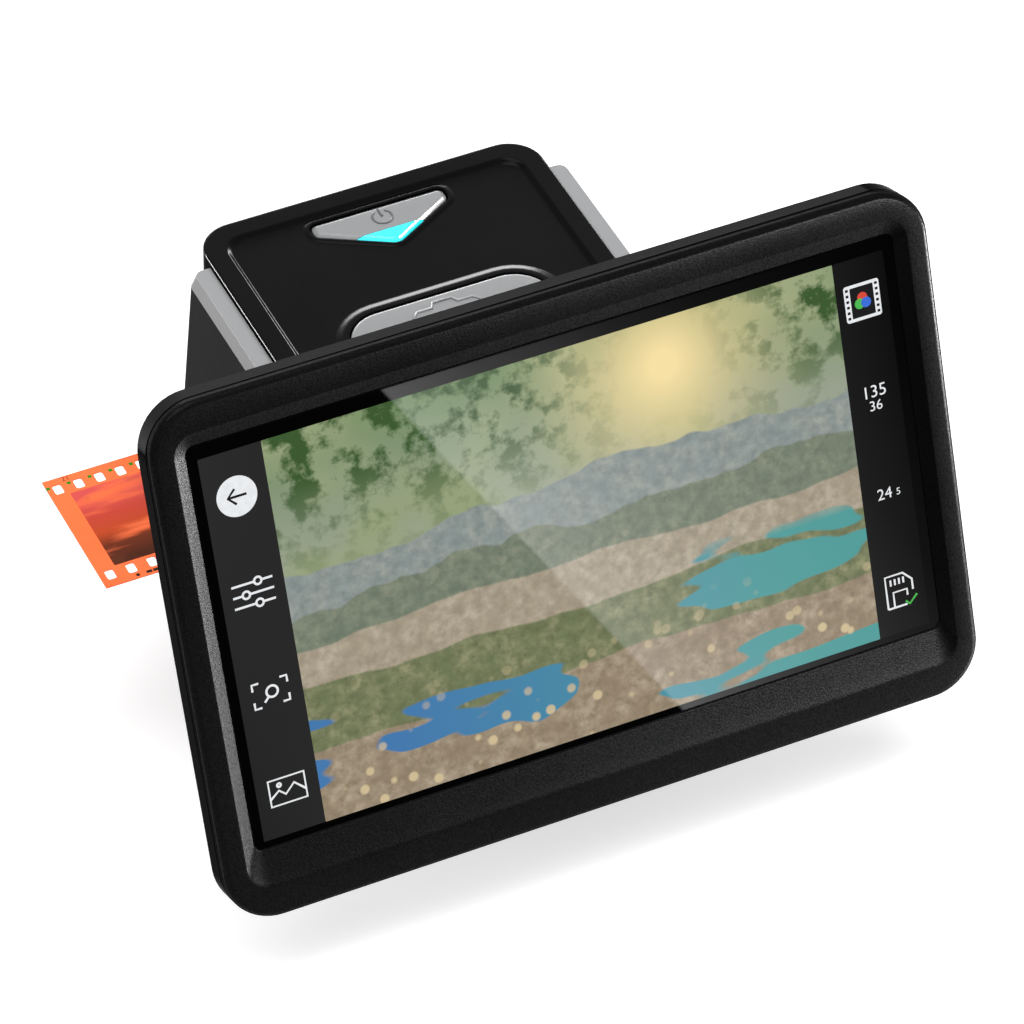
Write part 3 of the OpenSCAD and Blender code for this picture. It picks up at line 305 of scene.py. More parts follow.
def moulded(name, tint, roughness, gloss, grain=0.0, grain_size=0.35, speckle=0.12, matt=None, sparkle=0.2):
    """Moulded plastic: fine speckle, an uneven polish, a moulded grain, and a matt look when seen edge-on."""
    n = new_material(name)
    place = n.coords()
    fine = n.noise(place, 1 / (grain_size * MM), 2.0)
    broad = n.noise(place, 28.0)
    n.shader(Base_Color=n.mix(n.spread(fine), shade(tint, 1 - speckle), shade(tint, 1 + speckle)),
             Roughness=n.spread(broad, roughness * 0.93, roughness * 1.07), Specular_IOR_Level=gloss)
    if grain:
        n.shader(Normal=n.new("ShaderNodeBump", {"Height": fine, "Strength": 1.0,
                                                 "Distance": grain}).outputs["Normal"])
    if matt:
        start, end, rest = matt
        edge_on = n.new("ShaderNodeLayerWeight", {"Blend": 0.5}).outputs["Facing"]
        n.shader(Specular_IOR_Level=n.times(n.span(edge_on, start, end, gloss, gloss * rest),
                                            n.spread(fine, 1 - sparkle, 1 + sparkle)))


def metal(name, tint, roughness):
    """Turned or stamped metal with fine streaks."""
    n = new_material(name)
    streak = n.noise(n.coords((1, 1, 9)), 700.0)
    n.shader(Base_Color=n.mix(streak, shade(tint, 0.8), shade(tint, 1.15)),
             Roughness=n.spread(streak, roughness * 0.8, roughness * 1.25), Metallic=1.0)


def light_lens():
    """A clear cyan lens, lit from below."""
    n = new_material("lens_plastic")
    tip, line = 21.5 * MM, 26 * MM
    depth = n.span(n.separate(n.coords())["Y"], tip, line)
    deep = n.ramp(depth, [(0, (0.015, 0.9, 0.93)), (1, (0.03, 0.72, 0.8))])
    cloud = n.spread(n.noise(n.coords(), 220.0, 2.0))
    n.shader(Base_Color=n.mix(cloud, deep, (0.02, 0.86, 0.9)), Emission_Color=deep, Roughness=0.18,
             Specular_IOR_Level=0.6, Emission_Strength=0.35)


def board_material():
    """A green board: solder mask over fine tracks, with small pads."""
    n = new_material("circuit_board")
    place = n.coords()
    tracks = n.new("ShaderNodeTexBrick", {"Vector": place, "Scale": 260.0, "Mortar Size": 0.02,
                                          "Brick Width": 0.9, "Row Height": 0.22}).outputs["Fac"]
    pads = n.new("ShaderNodeTexVoronoi", {"Vector": place, "Scale": 420.0}).outputs["Distance"]
    mask = n.mix(tracks, (0.012, 0.1, 0.05), (0.02, 0.17, 0.08))
    n.shader(Base_Color=n.mix(n.span(pads, 0.13, 0.1), mask, (0.5, 0.42, 0.22)),
             Roughness=n.span(tracks, 0, 1, 0.32, 0.24), Specular_IOR_Level=0.4)


def glass_material():
    """Coated optical glass."""
    n = new_material("lens_glass")
    rim = n.new("ShaderNodeLayerWeight", {"Blend": 0.4}).outputs["Facing"]
    n.shader(Base_Color=n.mix(rim, (0.82, 0.88, 0.95), (0.45, 0.4, 0.75)), Roughness=0.02, IOR=1.5,
             Transmission_Weight=1.0)


def display_coords(n, display):
    """Object coordinates turned and moved to the display: x across, y up its face."""
    matrix = display_place(display)
    place = n.new("ShaderNodeTexCoord").outputs["Object"]
    mapping = n.new("ShaderNodeMapping", {"Vector": place, "Location": matrix.to_translation(),
                                          "Rotation": matrix.to_euler()}, vector_type="TEXTURE")
    return mapping.outputs["Vector"]


def lit(name, glow):
    """A lit layer under the glass: it shines, and has the gloss of the glass."""
    n = new_material(name)
    n.shader(Base_Color=(0.001, 0.001, 0.001), Roughness=0.02, Specular_IOR_Level=GLASS_GLOSS,
             Emission_Strength=glow)
    return n


def lit_sign(name, tint, glow):
    n = lit(name, glow)
    cloud = n.spread(n.noise(n.coords(), 900.0, 2.0))
    n.shader(Emission_Color=n.mix(cloud, shade(tint, 0.9), tint))


def bar_materials(display, screen):
    """Two grey bars, each with a soft vertical fade and a darker inner edge."""
    edge, tall = glass_window(display)[0] - screen.border_side, 42 * MM
    n = lit("menu_bar", screen.glow)
    place = n.separate(display_coords(n, display))
    down = n.ramp(n.span(place["Y"], -tall, tall), [(0, 0.0168), (1, 0.0242)])
    across = n.span(place["X"], -edge, -edge + screen.left_bar)
    n.shader(Emission_Color=n.mix(across, down, (0.021, 0.021, 0.021)))
    n = lit("status_bar", screen.glow)
    place = n.separate(display_coords(n, display))
    across = n.ramp(n.span(place["X"], edge - screen.right_bar, edge), [(0, 0.0085), (1, 0.0033)])
    down = n.ramp(n.span(place["Y"], -tall, tall), [(0, 0.82), (1, 1.0)])
    n.shader(Emission_Color=n.mix(1.0, across, down, "MULTIPLY"))


# Height and swell of a hill in mm, size and place in its noise, dark and light colour.
HILLS = (
    (14, 9, 26.0, 3.1, (0.27, 0.32, 0.31), (0.36, 0.38, 0.34)),
    (6, 8, 34.0, 7.4, (0.19, 0.23, 0.17), (0.27, 0.29, 0.21)),
    (-3, 6, 22.0, 11.9, (0.4, 0.34, 0.25), (0.5, 0.44, 0.34)),
    (-13, 6, 18.0, 17.3, (0.17, 0.2, 0.1), (0.3, 0.3, 0.17)),
    (-27, 6, 15.0, 23.8, (0.32, 0.25, 0.17), (0.46, 0.38, 0.28)),
)


def picture_material(display, screen):
    """A soft landscape: trees in warm light, pale hills, a field with pools of blue and teal."""
    n = lit("picture", screen.glow)
    place = n.separate(display_coords(n, display))
    x, y = place["X"], place["Y"]
    flat = n.new("ShaderNodeCombineXYZ", {"X": x, "Y": y}).outputs[0]
    line = n.new("ShaderNodeCombineXYZ", {"X": x}).outputs[0]
    leaves = n.noise(flat, 150.0, 6.0, 0.62)
    grass = n.noise(flat, 420.0, 5.0, 0.6)

    def above(low, high):
        return n.span(y, low * MM, high * MM)

    sky = n.mix(above(-5, 43), (0.42, 0.43, 0.38), (0.17, 0.26, 0.12))
    sky = n.mix(n.span(n.noise(flat, 38.0, 2.0), 0.42, 0.62), sky, (0.3, 0.36, 0.2))
    sun_place = (25 * MM, 33 * MM, 0)
    far = n.new("ShaderNodeVectorMath", {0: flat, 1: sun_place}, operation="DISTANCE").outputs["Value"]
    sun = n.span(far, 3 * MM, 40 * MM, 1.0, 0.0)
    sky = n.mix(n.math("POWER", sun, 2.0), sky, (0.92, 0.74, 0.36))
    canopy = n.times(n.times(n.span(leaves, 0.47, 0.58), above(8, 32)), n.span(far, 10 * MM, 34 * MM))
    view = n.mix(canopy, sky, (0.045, 0.1, 0.03))
    for height, swell, scale, seed, dark, light in HILLS:
        face = n.mix(n.span(leaves, 0.4, 0.62), dark, light)
        face = n.mix(n.span(grass, 0.35, 0.65), face, shade(dark, 0.8))
        shift = n.new("ShaderNodeVectorMath", {0: line, 1: (seed, 0, seed)}, operation="ADD").outputs[0]
        ridge = n.span(n.noise(shift, scale), 0, 1, (height - swell) * MM, (height + swell) * MM)
        below = n.span(n.math("SUBTRACT", ridge, y), -0.25 * MM, 0.25 * MM)
        view = n.mix(below, view, face)
    wide = n.new("ShaderNodeMapping", {"Vector": flat, "Scale": (1, 3.2, 1), "Location": (0.31, 0.2, 0)})
    pools = n.span(n.noise(wide.outputs[0], 24.0, 2.0), 0.56, 0.575)
    water = n.mix(n.span(x, -45 * MM, 45 * MM), (0.06, 0.19, 0.42), (0.08, 0.33, 0.32))
    view = n.mix(n.times(pools, above(-8, -12)), view, water)
    blooms = n.new("ShaderNodeTexVoronoi", {"Vector": flat, "Scale": 190.0}).outputs["Distance"]
    view = n.mix(n.times(n.span(blooms, 0.24, 0.16), above(-18, -36)), view, (0.62, 0.5, 0.3))
    n.shader(Emission_Color=view)


def film_material(film):
    """Colour negative film: orange base, darker pictures and green edge marks."""
    n = new_material("film")
    low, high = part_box("film_strip")
    picture_pitch, picture_length, picture_half = 8 * film.pitch, 36 * MM, 12 * MM
    mark_row, mark_half, mark_length = (high.y - low.y) / 2 - 2.4 * MM, 0.45 * MM, 0.9 * MM
    axis = n.separate(n.coords(location=(-low.x, 0, 0)))
    x, y = axis["X"], axis["Y"]

    def within(value, reach):
        return n.math("LESS_THAN", n.math("ABSOLUTE", value), reach)

    along = n.math("MODULO", n.math("SUBTRACT", x, film.frame_start), picture_pitch)
    inside = n.times(n.math("GREATER_THAN", along, 0.0), n.math("LESS_THAN", along, picture_length))
    inside = n.times(inside, within(y, picture_half))
    streak = n.noise(n.coords((0.35, 1.6, 1)), 90.0, 4.0)
    blot = n.noise(n.coords(), 60.0)
    tone = n.ramp(n.span(y, -picture_half, picture_half),
                  [(0, (0.035, 0.008, 0.002)), (0.26, (0.12, 0.02, 0.005)), (0.42, (0.4, 0.05, 0.012)),
                   (0.62, (0.42, 0.045, 0.025)), (0.8, (0.5, 0.06, 0.05)), (1, (0.55, 0.07, 0.065))])
    tone = n.mix(n.span(streak, 0.5, 0.66), tone, (0.72, 0.13, 0.045))
    tone = n.mix(n.span(blot, 0.55, 0.7), tone, (0.1, 0.022, 0.008))
    base = n.mix(n.spread(blot), (0.92, 0.135, 0.04), (1.0, 0.16, 0.05))
    mark = n.times(n.math("LESS_THAN", n.math("MODULO", x, film.pitch), mark_length),
                   within(n.math("SUBTRACT", y, mark_row), mark_half))
    n.shader(Base_Color=n.mix(mark, n.mix(inside, base, tone), (0.03, 0.18, 0.008)),
             Roughness=n.spread(streak, 0.22, 0.3), Specular_IOR_Level=0.12)


# Colour, roughness, gloss and further settings of each moulded plastic.
PLASTICS = {
    "cover_plastic": ((0.0018, 0.0018, 0.002), 0.22, 0.042,
                      {"grain": 0.003 * MM, "matt": (0.61, 0.66, 0.02), "sparkle": 0.1}),
    "bezel_plastic": ((0.002, 0.002, 0.0023), 0.27, 0.04,
                      {"grain": 0.022 * MM, "matt": (0.5, 0.62, 0.02), "sparkle": 0.6}),
    "panel_plastic": ((0.011, 0.011, 0.0115), 0.4, 0.08, {"matt": (0.35, 0.5, 0.1)}),
    "trim_plastic": ((0.235, 0.238, 0.242), 0.35, 0.35, {"speckle": 0.03}),
    "button_plastic": ((0.2, 0.203, 0.206), 0.26, 0.4, {"speckle": 0.02}),
    # The power sign's plastic is the button plastic painted darker: painted shade that stands in for the
    # shaded edges of its raised strokes.
    "sign_plastic": ((0.11, 0.112, 0.114), 0.3, 0.4, {"speckle": 0.02}),
    "foot_rubber": ((0.02, 0.02, 0.02), 0.8, 0.2, {"grain": 0.02 * MM}),
    "chip_plastic": ((0.018, 0.018, 0.02), 0.6, 0.25, {"grain": 0.01 * MM}),
    "led_plastic": ((0.85, 0.72, 0.3), 0.3, 0.5, {"speckle": 0.2}),
    "white_plastic": ((0.78, 0.78, 0.76), 0.5, 0.35, {"speckle": 0.03}),
    "diffuser_plastic": ((0.85, 0.86, 0.86), 0.5, 0.35,
                         {"grain": 0.006 * MM, "grain_size": 0.8, "speckle": 0.04}),
    "touch_glass": ((0.001, 0.001, 0.001), 0.02, GLASS_GLOSS, {}),
    "lcd_glass": ((0.012, 0.014, 0.016), 0.15, 0.2, {}),
    "holder_plastic": ((0.013, 0.013, 0.014), 0.5, 0.2, {"grain": 0.02 * MM}),
    "card_plastic": ((0.015, 0.025, 0.07), 0.4, 0.4, {}),
    "film_ink": ((0.02, 0.012, 0.008), 0.4, 0.1, {}),
}
LIT_SIGNS = {
    "sign_white": (0.86, 0.88, 0.9),
    "sign_dark": (0.012, 0.012, 0.013),
    "sign_red": (0.72, 0.07, 0.05),
    "sign_green": (0.08, 0.5, 0.09),
    "sign_blue": (0.05, 0.16, 0.7),
}


def make_materials(display, screen, film):
    for name, (tint, roughness, gloss, settings) in PLASTICS.items():
        moulded(name, tint, roughness, gloss, **settings)
    for name, tint in LIT_SIGNS.items():
        lit_sign(name, tint, screen.glow)
    metal("steel", (0.5, 0.51, 0.52), 0.28)
    metal("lens_metal", (0.03, 0.03, 0.032), 0.35)
    light_lens()
    board_material()
    glass_material()
    film_material(film)
    picture_material(display, screen)
    bar_materials(display, screen)


# ---- Modelling helpers ----


# The least rise between neighbouring outlines, and the least radius of a corner.
SLOPE, LEAST_RADIUS = 0.02 * MM, 0.05 * MM


def outline(bm, points, radii, z=0.0, grow=0.0, segments=8):
    """A flat face with round corners: a convex polygon, grown outwards, with its vertices bevelled."""
    count = len(points)
    if not hasattr(radii, "__len__"):
        radii = [radii] * count
    before = set(bm.faces)
    corners, offsets = [], []
    for i, radius in enumerate(radii):
        last, here, after = (Vector(points[(i + k) % count]) for k in (-1, 0, 1))
        inward, outward = (here - last).normalized(), (after - here).normalized()
        side_in, side_out = Vector((inward.y, -inward.x)), Vector((outward.y, -outward.x))
        place = here + (side_in + side_out) * grow / (1 + side_in.dot(side_out))
        corners.append(bm.verts.new((place.x, place.y, z)))
        half_turn = math.acos(max(-1, min(1, inward.dot(outward)))) / 2
        offsets.append(max(radius + grow, LEAST_RADIUS) * math.tan(half_turn))
    bm.faces.new(corners)
    for corner, offset in zip(corners, offsets):
        bmesh.ops.bevel(bm, geom=[corner], offset=offset, offset_type="OFFSET", affect="VERTICES",
                        segments=segments, profile=0.5, material=-1)
    return (set(bm.faces) - before).pop()


def box_points(low_x, high_x, low_y, high_y):
    return (low_x, low_y), (high_x, low_y), (high_x, high_y), (low_x, high_y)


def box_at(x, y, wide, tall):
    """The corners of a box round a place, given in mm."""
    return [(across * MM, up * MM) for across, up in box_points(x - wide, x + wide, y - tall, y + tall)]


def loft(bm, faces, ends="caps"):
    """Bridge a stack of outlines, whose first and last stay as caps, are left open, or are joined.

    Neighbours never share a level: a flat step has a slight slope, so that the bridge finds its way.
    The edges of the first and of the last outline come back.
    """
    loops = [list(face.edges) for face in faces]
    bmesh.ops.delete(bm, geom=faces[1:-1] if ends == "caps" else faces, context="FACES_ONLY")
    following = loops[1:] + loops[:1] if ends == "joined" else loops[1:]
    for one, two in zip(loops, following):
        bmesh.ops.bridge_loops(bm, edges=one + two)
    return loops[0], loops[-1]


def arc(radius_x, radius_y, steps):
    """Points of a quarter round, from (0, 0) up to (radius_x, radius_y)."""
    for k in range(steps + 1):
        turn = math.radians(90 * k / steps)
        yield radius_x * (1 - math.cos(turn)), radius_y * math.sin(turn)


def ease(share):
    """A smooth step from 0 to 1."""
    return share * share * (3 - 2 * share)


def new_object(name, data):
    made = bpy.data.objects.new(name, data)
    bpy.context.scene.collection.objects.link(made)
    return made


def object_from(bm, name):
    mesh = bpy.data.meshes.new(name)
    bm.to_mesh(mesh)
    bm.free()
    return new_object(name, mesh)


# The record's slot of a material that has none of its own name.
SLOTS = {"bezel_plastic": "cover_plastic", "sign_plastic": "button_plastic", "film_ink": "film",
         **dict.fromkeys(("picture", "menu_bar", "status_bar", *LIT_SIGNS), "lcd_glass")}


def piece_from(bm, name, body, material, place=None, replaces=None, sharp=35.0):
    """Turn a bmesh into a finished piece that rides on a body."""
    bmesh.ops.remove_doubles(bm, verts=bm.verts, dist=0.002 * MM)
    bmesh.ops.recalc_face_normals(bm, faces=bm.faces)
    if place:
        bm.transform(place)
    piece = object_from(bm, name)
    mesh, slot = piece.data, SLOTS.get(material, material)
    mesh.polygons.foreach_set("use_smooth", [True] * len(mesh.polygons))
    mesh.set_sharp_from_angle(angle=math.radians(sharp))
    mesh.materials.append(MATERIALS[material])
    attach(piece, body)
    piece["glass"] = slot == "lcd_glass"
    if replaces:
        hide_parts(replaces)
    return piece


def even_shading(piece):
    """Let large flat faces keep a flat look beside their rounded edges."""
    weighted = piece.modifiers.new("Even shading", "WEIGHTED_NORMAL")
    weighted.keep_sharp = True


def evaluated_mesh(piece):
    ready = piece.evaluated_get(bpy.context.evaluated_depsgraph_get())
    return bpy.data.meshes.new_from_object(ready)


def carve(piece, cutter_bm):
    """Cut a shape out of a piece, and keep only the result."""
    bmesh.ops.recalc_face_normals(cutter_bm, faces=cutter_bm.faces)
    cutter = object_from(cutter_bm, "cutter")
    cut = piece.modifiers.new("Cut", "BOOLEAN")
    cut.operation, cut.solver, cut.object = "DIFFERENCE", "EXACT", cutter
    bpy.context.view_layer.update()
    piece.data = evaluated_mesh(piece)
    piece.modifiers.clear()
    bpy.data.objects.remove(cutter)
    piece.data.set_sharp_from_angle(angle=math.radians(35))


def block(bm, low, high):
    """A box between two corners, for cutting."""
    made = bmesh.ops.create_cube(bm, size=1)["verts"]
    bmesh.ops.scale(bm, verts=made, vec=[b - a for a, b in zip(low, high)])
    bmesh.ops.translate(bm, verts=made, vec=[(a + b) / 2 for a, b in zip(low, high)])


def plate(bm, points, radii, z, thickness, segments=4):
    """A flat plate with round corners."""
    loft(bm, [outline(bm, points, radii, level, 0, segments) for level in (z, z + thickness)])


def strokes(name, lines, width, depth, place, body="display", material="sign_white", closed=()):
    """Raised lines with round ends, such as those of a sign, given in mm."""
    curve = bpy.data.curves.new(name, "CURVE")
    curve.dimensions = "3D"
    curve.bevel_depth, curve.bevel_resolution, curve.use_fill_caps = width * MM / 2, 2, True
    for k, line in enumerate(lines):
        spline = curve.splines.new("POLY")
        spline.points.add(len(line) - 1)
        for point, (x, y) in zip(spline.points, line):
            point.co = (x * MM, y * MM, 0, 1)
        spline.use_cyclic_u = k in closed
    return solid_from(curve, name, depth / (width * MM), place, body, material)


def numbers(name, text, size, depth, place, body="display", material="sign_white"):
    """Plain numbers as a thin solid, of a size given in mm."""
    curve = bpy.data.curves.new(name, "FONT")
    curve.body, curve.size, curve.extrude = text, size * MM, depth / 2
    curve.align_x, curve.align_y = "CENTER", "CENTER"
    curve.resolution_u = 3
    return solid_from(curve, name, 1.0, place, body, material)


def solid_from(curve, name, flatten, place, body, material):
    """A piece from a curve, flattened to its height."""
    holder = new_object(name + "_curve", curve)
    bpy.context.view_layer.update()
    mesh = evaluated_mesh(holder)
    bpy.data.objects.remove(holder)
    bm = bmesh.new()
    bm.from_mesh(mesh)
    bpy.data.meshes.remove(mesh)
    bmesh.ops.scale(bm, verts=bm.verts, vec=(1, 1, flatten))
    return piece_from(bm, name, body, material, place)


def arc_line(x, y, radius, start, end, steps):
    turns = (math.radians(start + (end - start) * k / steps) for k in range(steps + 1))
    return [(x + radius * math.cos(turn), y + radius * math.sin(turn)) for turn in turns]


def circle_line(x, y, radius, steps):
    return arc_line(x, y, radius, 0, 360, steps)[:-1]


def verts_of(geometry):
    return [part for part in geometry if isinstance(part, bmesh.types.BMVert)]


def thicken(bm, faces, thickness):
    """Give flat faces a thickness, upwards."""
    raised = bmesh.ops.extrude_face_region(bm, geom=faces, use_keep_orig=True)["geom"]
    bmesh.ops.translate(bm, verts=verts_of(raised), vec=(0, 0, thickness))


def disc(bm, centre, radius, z, thickness):
    made = bmesh.ops.create_circle(bm, cap_ends=True, segments=40, radius=radius)["verts"]
    bmesh.ops.translate(bm, verts=made, vec=(*centre, z))
    thicken(bm, [made[0].link_faces[0]], thickness)


# ---- Display ----


def display_place(display):
    """The display's own frame: x along its width, y up its height, z out of its face."""
    axis = Vector(TILT_JOINT["pos_m"])
    return (Matrix.Translation(axis) @ Matrix.Rotation(-display.tilt, 4, "X")
            @ Matrix.Translation((0, -display.hinge_depth, -display.hinge_up))
            @ Matrix.Rotation(math.pi / 2, 4, "X"))


def glass_window(display):
    """Half width, top and foot of the glass that shows."""
    return (display.width / 2 - display.frame_side - display.bevel_side,
            display.top - display.frame_top - display.bevel_top,
            display.low - display.frame_low - display.bevel_low)


def make_bezel(display):
    """The bezel: a rounded frame with a wide soft bevel down to the glass."""
    bm = bmesh.new()
    pane_x, pane_top, pane_low = glass_window(display)
    half = display.width / 2
    front, glass = display.bezel_depth, display.glass_depth
    edge, groove, foot = 1.5 * MM, 0.3 * MM, 0.3 * MM
    corner_glass, corner_bevel = 2 * MM, 5 * MM
    boss_radius, boss_foot, boss_height = 2.4 * MM, -4 * MM, 5 * MM

    def outside(inset, z):
        points = box_points(-half, half, -display.low, display.top)
        return outline(bm, points, display.corner, z, -inset, 12)

    def inside(share, z, lip=0.0):
        side, top, low = (share * w for w in (display.bevel_side, display.bevel_top, display.bevel_low))
        points = box_points(-pane_x - side, pane_x + side, -pane_low - low, pane_top + top)
        return outline(bm, points, corner_glass + share * (corner_bevel - corner_glass), z, lip, 12)

    rings = [outside(groove, SLOPE), outside(groove, 0.25 * MM), outside(0, 2 * groove)]
    rings += [outside(x, front - edge + y) for x, y in arc(edge, edge, 6)]
    slide = ((1.1, 0.01), (1.05, 0.025), (1.0, 0.06), (0.94, 0.13), (0.86, 0.22), (0.7, 0.38),
             (0.5, 0.57), (0.3, 0.75), (0.16, 0.88), (0.07, 0.96), (0.02, 1.0))
    rings += [inside(share, front - depth * (front - glass - foot)) for share, depth in slide]
    rings += [inside(0, glass + foot * 0.6), inside(0, glass + SLOPE)]
    rings += [inside(0, glass + 2 * SLOPE, display.glass_lip), inside(0, 0, display.glass_lip)]
    loft(bm, rings, "joined")
    for x in (-display.boss_side, display.boss_side):
        for y in (-display.boss_low, display.boss_top):
            disc(bm, (x, y), boss_radius, boss_foot, boss_height)
    piece_from(bm, "bezel", "display", "bezel_plastic", display_place(display), "display_bezel")


def make_screen(display, screen):
    """The lit picture, the bars beside it and their signs, as thin layers on the glass."""
    place = display_place(display)
    pane_x, pane_top, pane_low = glass_window(display)
    left, right = -pane_x + screen.border_side, pane_x - screen.border_side
    high, low = pane_top - screen.border_top, -pane_low + screen.border_low
    menu, status = left + screen.left_bar, right - screen.right_bar
    face, layer = display.glass_depth + 0.002 * MM, 0.012 * MM
    for name, x0, x1 in (("picture", menu, status), ("menu_bar", left, menu), ("status_bar", status, right)):
        bm = bmesh.new()
        plate(bm, box_points(x0, x1, low, high), 0.1 * MM, face, layer, 1)
        piece_from(bm, name, "display", name, place)

    def bar(middle):
        """Places in a bar: a height in mm, and layers above the bar."""
        return lambda y, layers=0: place @ Matrix.Translation((middle, y * MM, face + layer * (1 + layers)))

    make_menu_signs(screen.stroke / MM, layer, bar((left + menu) / 2))
    make_status_signs(screen.stroke / MM, layer, bar((status + right) / 2))


def make_menu_signs(stroke, layer, at):
    """Back arrow, sliders, focus corners and picture sign, in mm from the middle of each."""
    back, sliders, focus, picture = 32.9, 11.4, -11.0, -33.1
    depth = 2 * layer
    bm = bmesh.new()
    disc(bm, (0, 0), 4.4 * MM, 0, layer)
    piece_from(bm, "back_disc", "display", "sign_white", at(back))
    arrow = [[(-2, 0), (2.1, 0)], [(-0.3, 1.7), (-2, 0), (-0.3, -1.7)]]
    strokes("back_arrow", arrow, 0.55, depth, at(back, 1), material="sign_dark")

    half, pitch, knob = 4.5, 2.4, 0.8
    lines, rounds = [], []
    for row, shift in ((1, 1.3), (0, -1.6), (-1, 1.0)):
        level = row * pitch
        lines += [[(-half, level), (shift - knob, level)], [(shift + knob, level), (half, level)]]
        rounds.append(circle_line(shift, level, knob, 20))
    strokes("sliders", lines + rounds, stroke, depth, at(sliders), closed=range(6, 9))

    wide, tall, arm = 3.85, 2.75, 1.5
    lines = [[(sx * (wide - arm), sy * tall), (sx * wide, sy * tall), (sx * wide, sy * (tall - arm))]
             for sx in (-1, 1) for sy in (-1, 1)]
    lines += [[(-0.55, -0.75), (-1.6, -1.8)], circle_line(0.3, 0.2, 1.25, 24)]
    strokes("focus_sign", lines, stroke, depth, at(focus), closed=[5])

    wide, tall = 4.0, 2.9
    hills = [(-wide, -1.3), (-1.9, 0.3), (-0.5, -0.9), (1.6, 1.1), (wide, -1.1)]
    lines = [box_points(-wide, wide, -tall, tall), hills, circle_line(-1.7, 1.5, 0.4, 12)]
    strokes("picture_sign", lines, stroke, depth, at(picture), closed=[0, 2])


def make_status_signs(stroke, layer, at):
    """Film sign, two number lines and card sign, in mm from the middle of each."""
    film, card = 33.2, -33.3
    depth = 2 * layer
    bm = bmesh.new()
    plate(bm, box_at(0, 0, 4.1, 4.1), 0.6 * MM, 0, layer)
    piece_from(bm, "film_sign", "display", "sign_white", at(film))
    bm = bmesh.new()
    plate(bm, box_at(0, 0, 2.7, 3.4), 0.2 * MM, layer, layer)
    for x in (-3.4, 3.4):
        for k in range(6):
            plate(bm, box_at(x, (k - 2.5) * 1.25, 0.33, 0.3), 0.1 * MM, layer, layer, 1)
    piece_from(bm, "film_sign_gate", "display", "sign_dark", at(film))
    dots = arc_line(0, 0, 0.85 * MM, 90, 330, 2)
    for k, tint in enumerate(("sign_red", "sign_green", "sign_blue")):
        bm = bmesh.new()
        disc(bm, dots[k], 1.15 * MM, 2 * layer, (k + 1) * layer * 0.7)
        piece_from(bm, tint, "display", tint, at(film))

    for name, text, size, level, shift in (
        ("format_number", "135", 3.9, 12.6, 0), ("frame_number", "36", 3.2, 9.4, 0),
        ("size_number", "24", 3.6, -10.8, -0.6), ("rate_number", "5", 2.2, -11.1, 2.6),
    ):
        numbers(name, text, size, layer, at(level, 0.5) @ Matrix.Translation((shift * MM, 0, 0)))

    wide, tall, cut = 3.1, 3.7, 2.0
    lines = [[(-wide, -tall), (wide * 0.45, -tall)],
             [(wide, -tall * 0.2), (wide, tall - cut), (wide - cut, tall), (-wide, tall), (-wide, -tall)]]
    lines += [[(-wide + 1.2 + k, tall - 0.9), (-wide + 1.2 + k, tall - 2.3)] for k in range(4)]
    left, right, level = -wide * 0.5, wide * 0.55, -0.2
    lines.append([(left, -tall), (left, level), (right, level), (right, -tall * 0.45)])
    strokes("card_sign", lines, stroke * 0.9, depth, at(card))
    tick = [(1.1, -2.9), (2.0, -3.8), (3.9, -2.0)]
    strokes("card_tick", [tick], stroke, depth, at(card), material="sign_green")


# ---- Top cover and buttons ----


def capture_points(buttons):
    half = buttons.capture_width / 2
    return box_points(-half, half, buttons.capture_back - buttons.capture_depth, buttons.capture_back)


def power_outline(bm, buttons, z, grow=0.0, segments=5):
    """The power button's wide triangle: two blunt ends at the back and a point at the front."""
    corner = buttons.power_corner
    end, back = buttons.power_width / 2 - corner, buttons.power_back - corner
    tip = buttons.power_back - buttons.power_depth + corner
    points = ((-0.3 * MM, tip), (0.3 * MM, tip), (end, back - buttons.power_end), (end, back),
              (-end, back), (-end, back - buttons.power_end))
    return outline(bm, points, 0.0, z, corner + grow, segments)


def fill_between(bm, *loops):
    """Fill the flat region between loops of edges."""
    bmesh.ops.triangle_fill(bm, edges=[edge for loop in loops for edge in loop], use_beauty=True)


def bisect(bm, y, **settings):
    """Cut a bmesh across at a place along y."""
    return bmesh.ops.bisect_plane(bm, geom=[*bm.verts, *bm.edges, *bm.faces], dist=1e-7, plane_co=(0, y, 0),
                                  plane_no=(0, 1, 0), **settings)["geom_cut"]


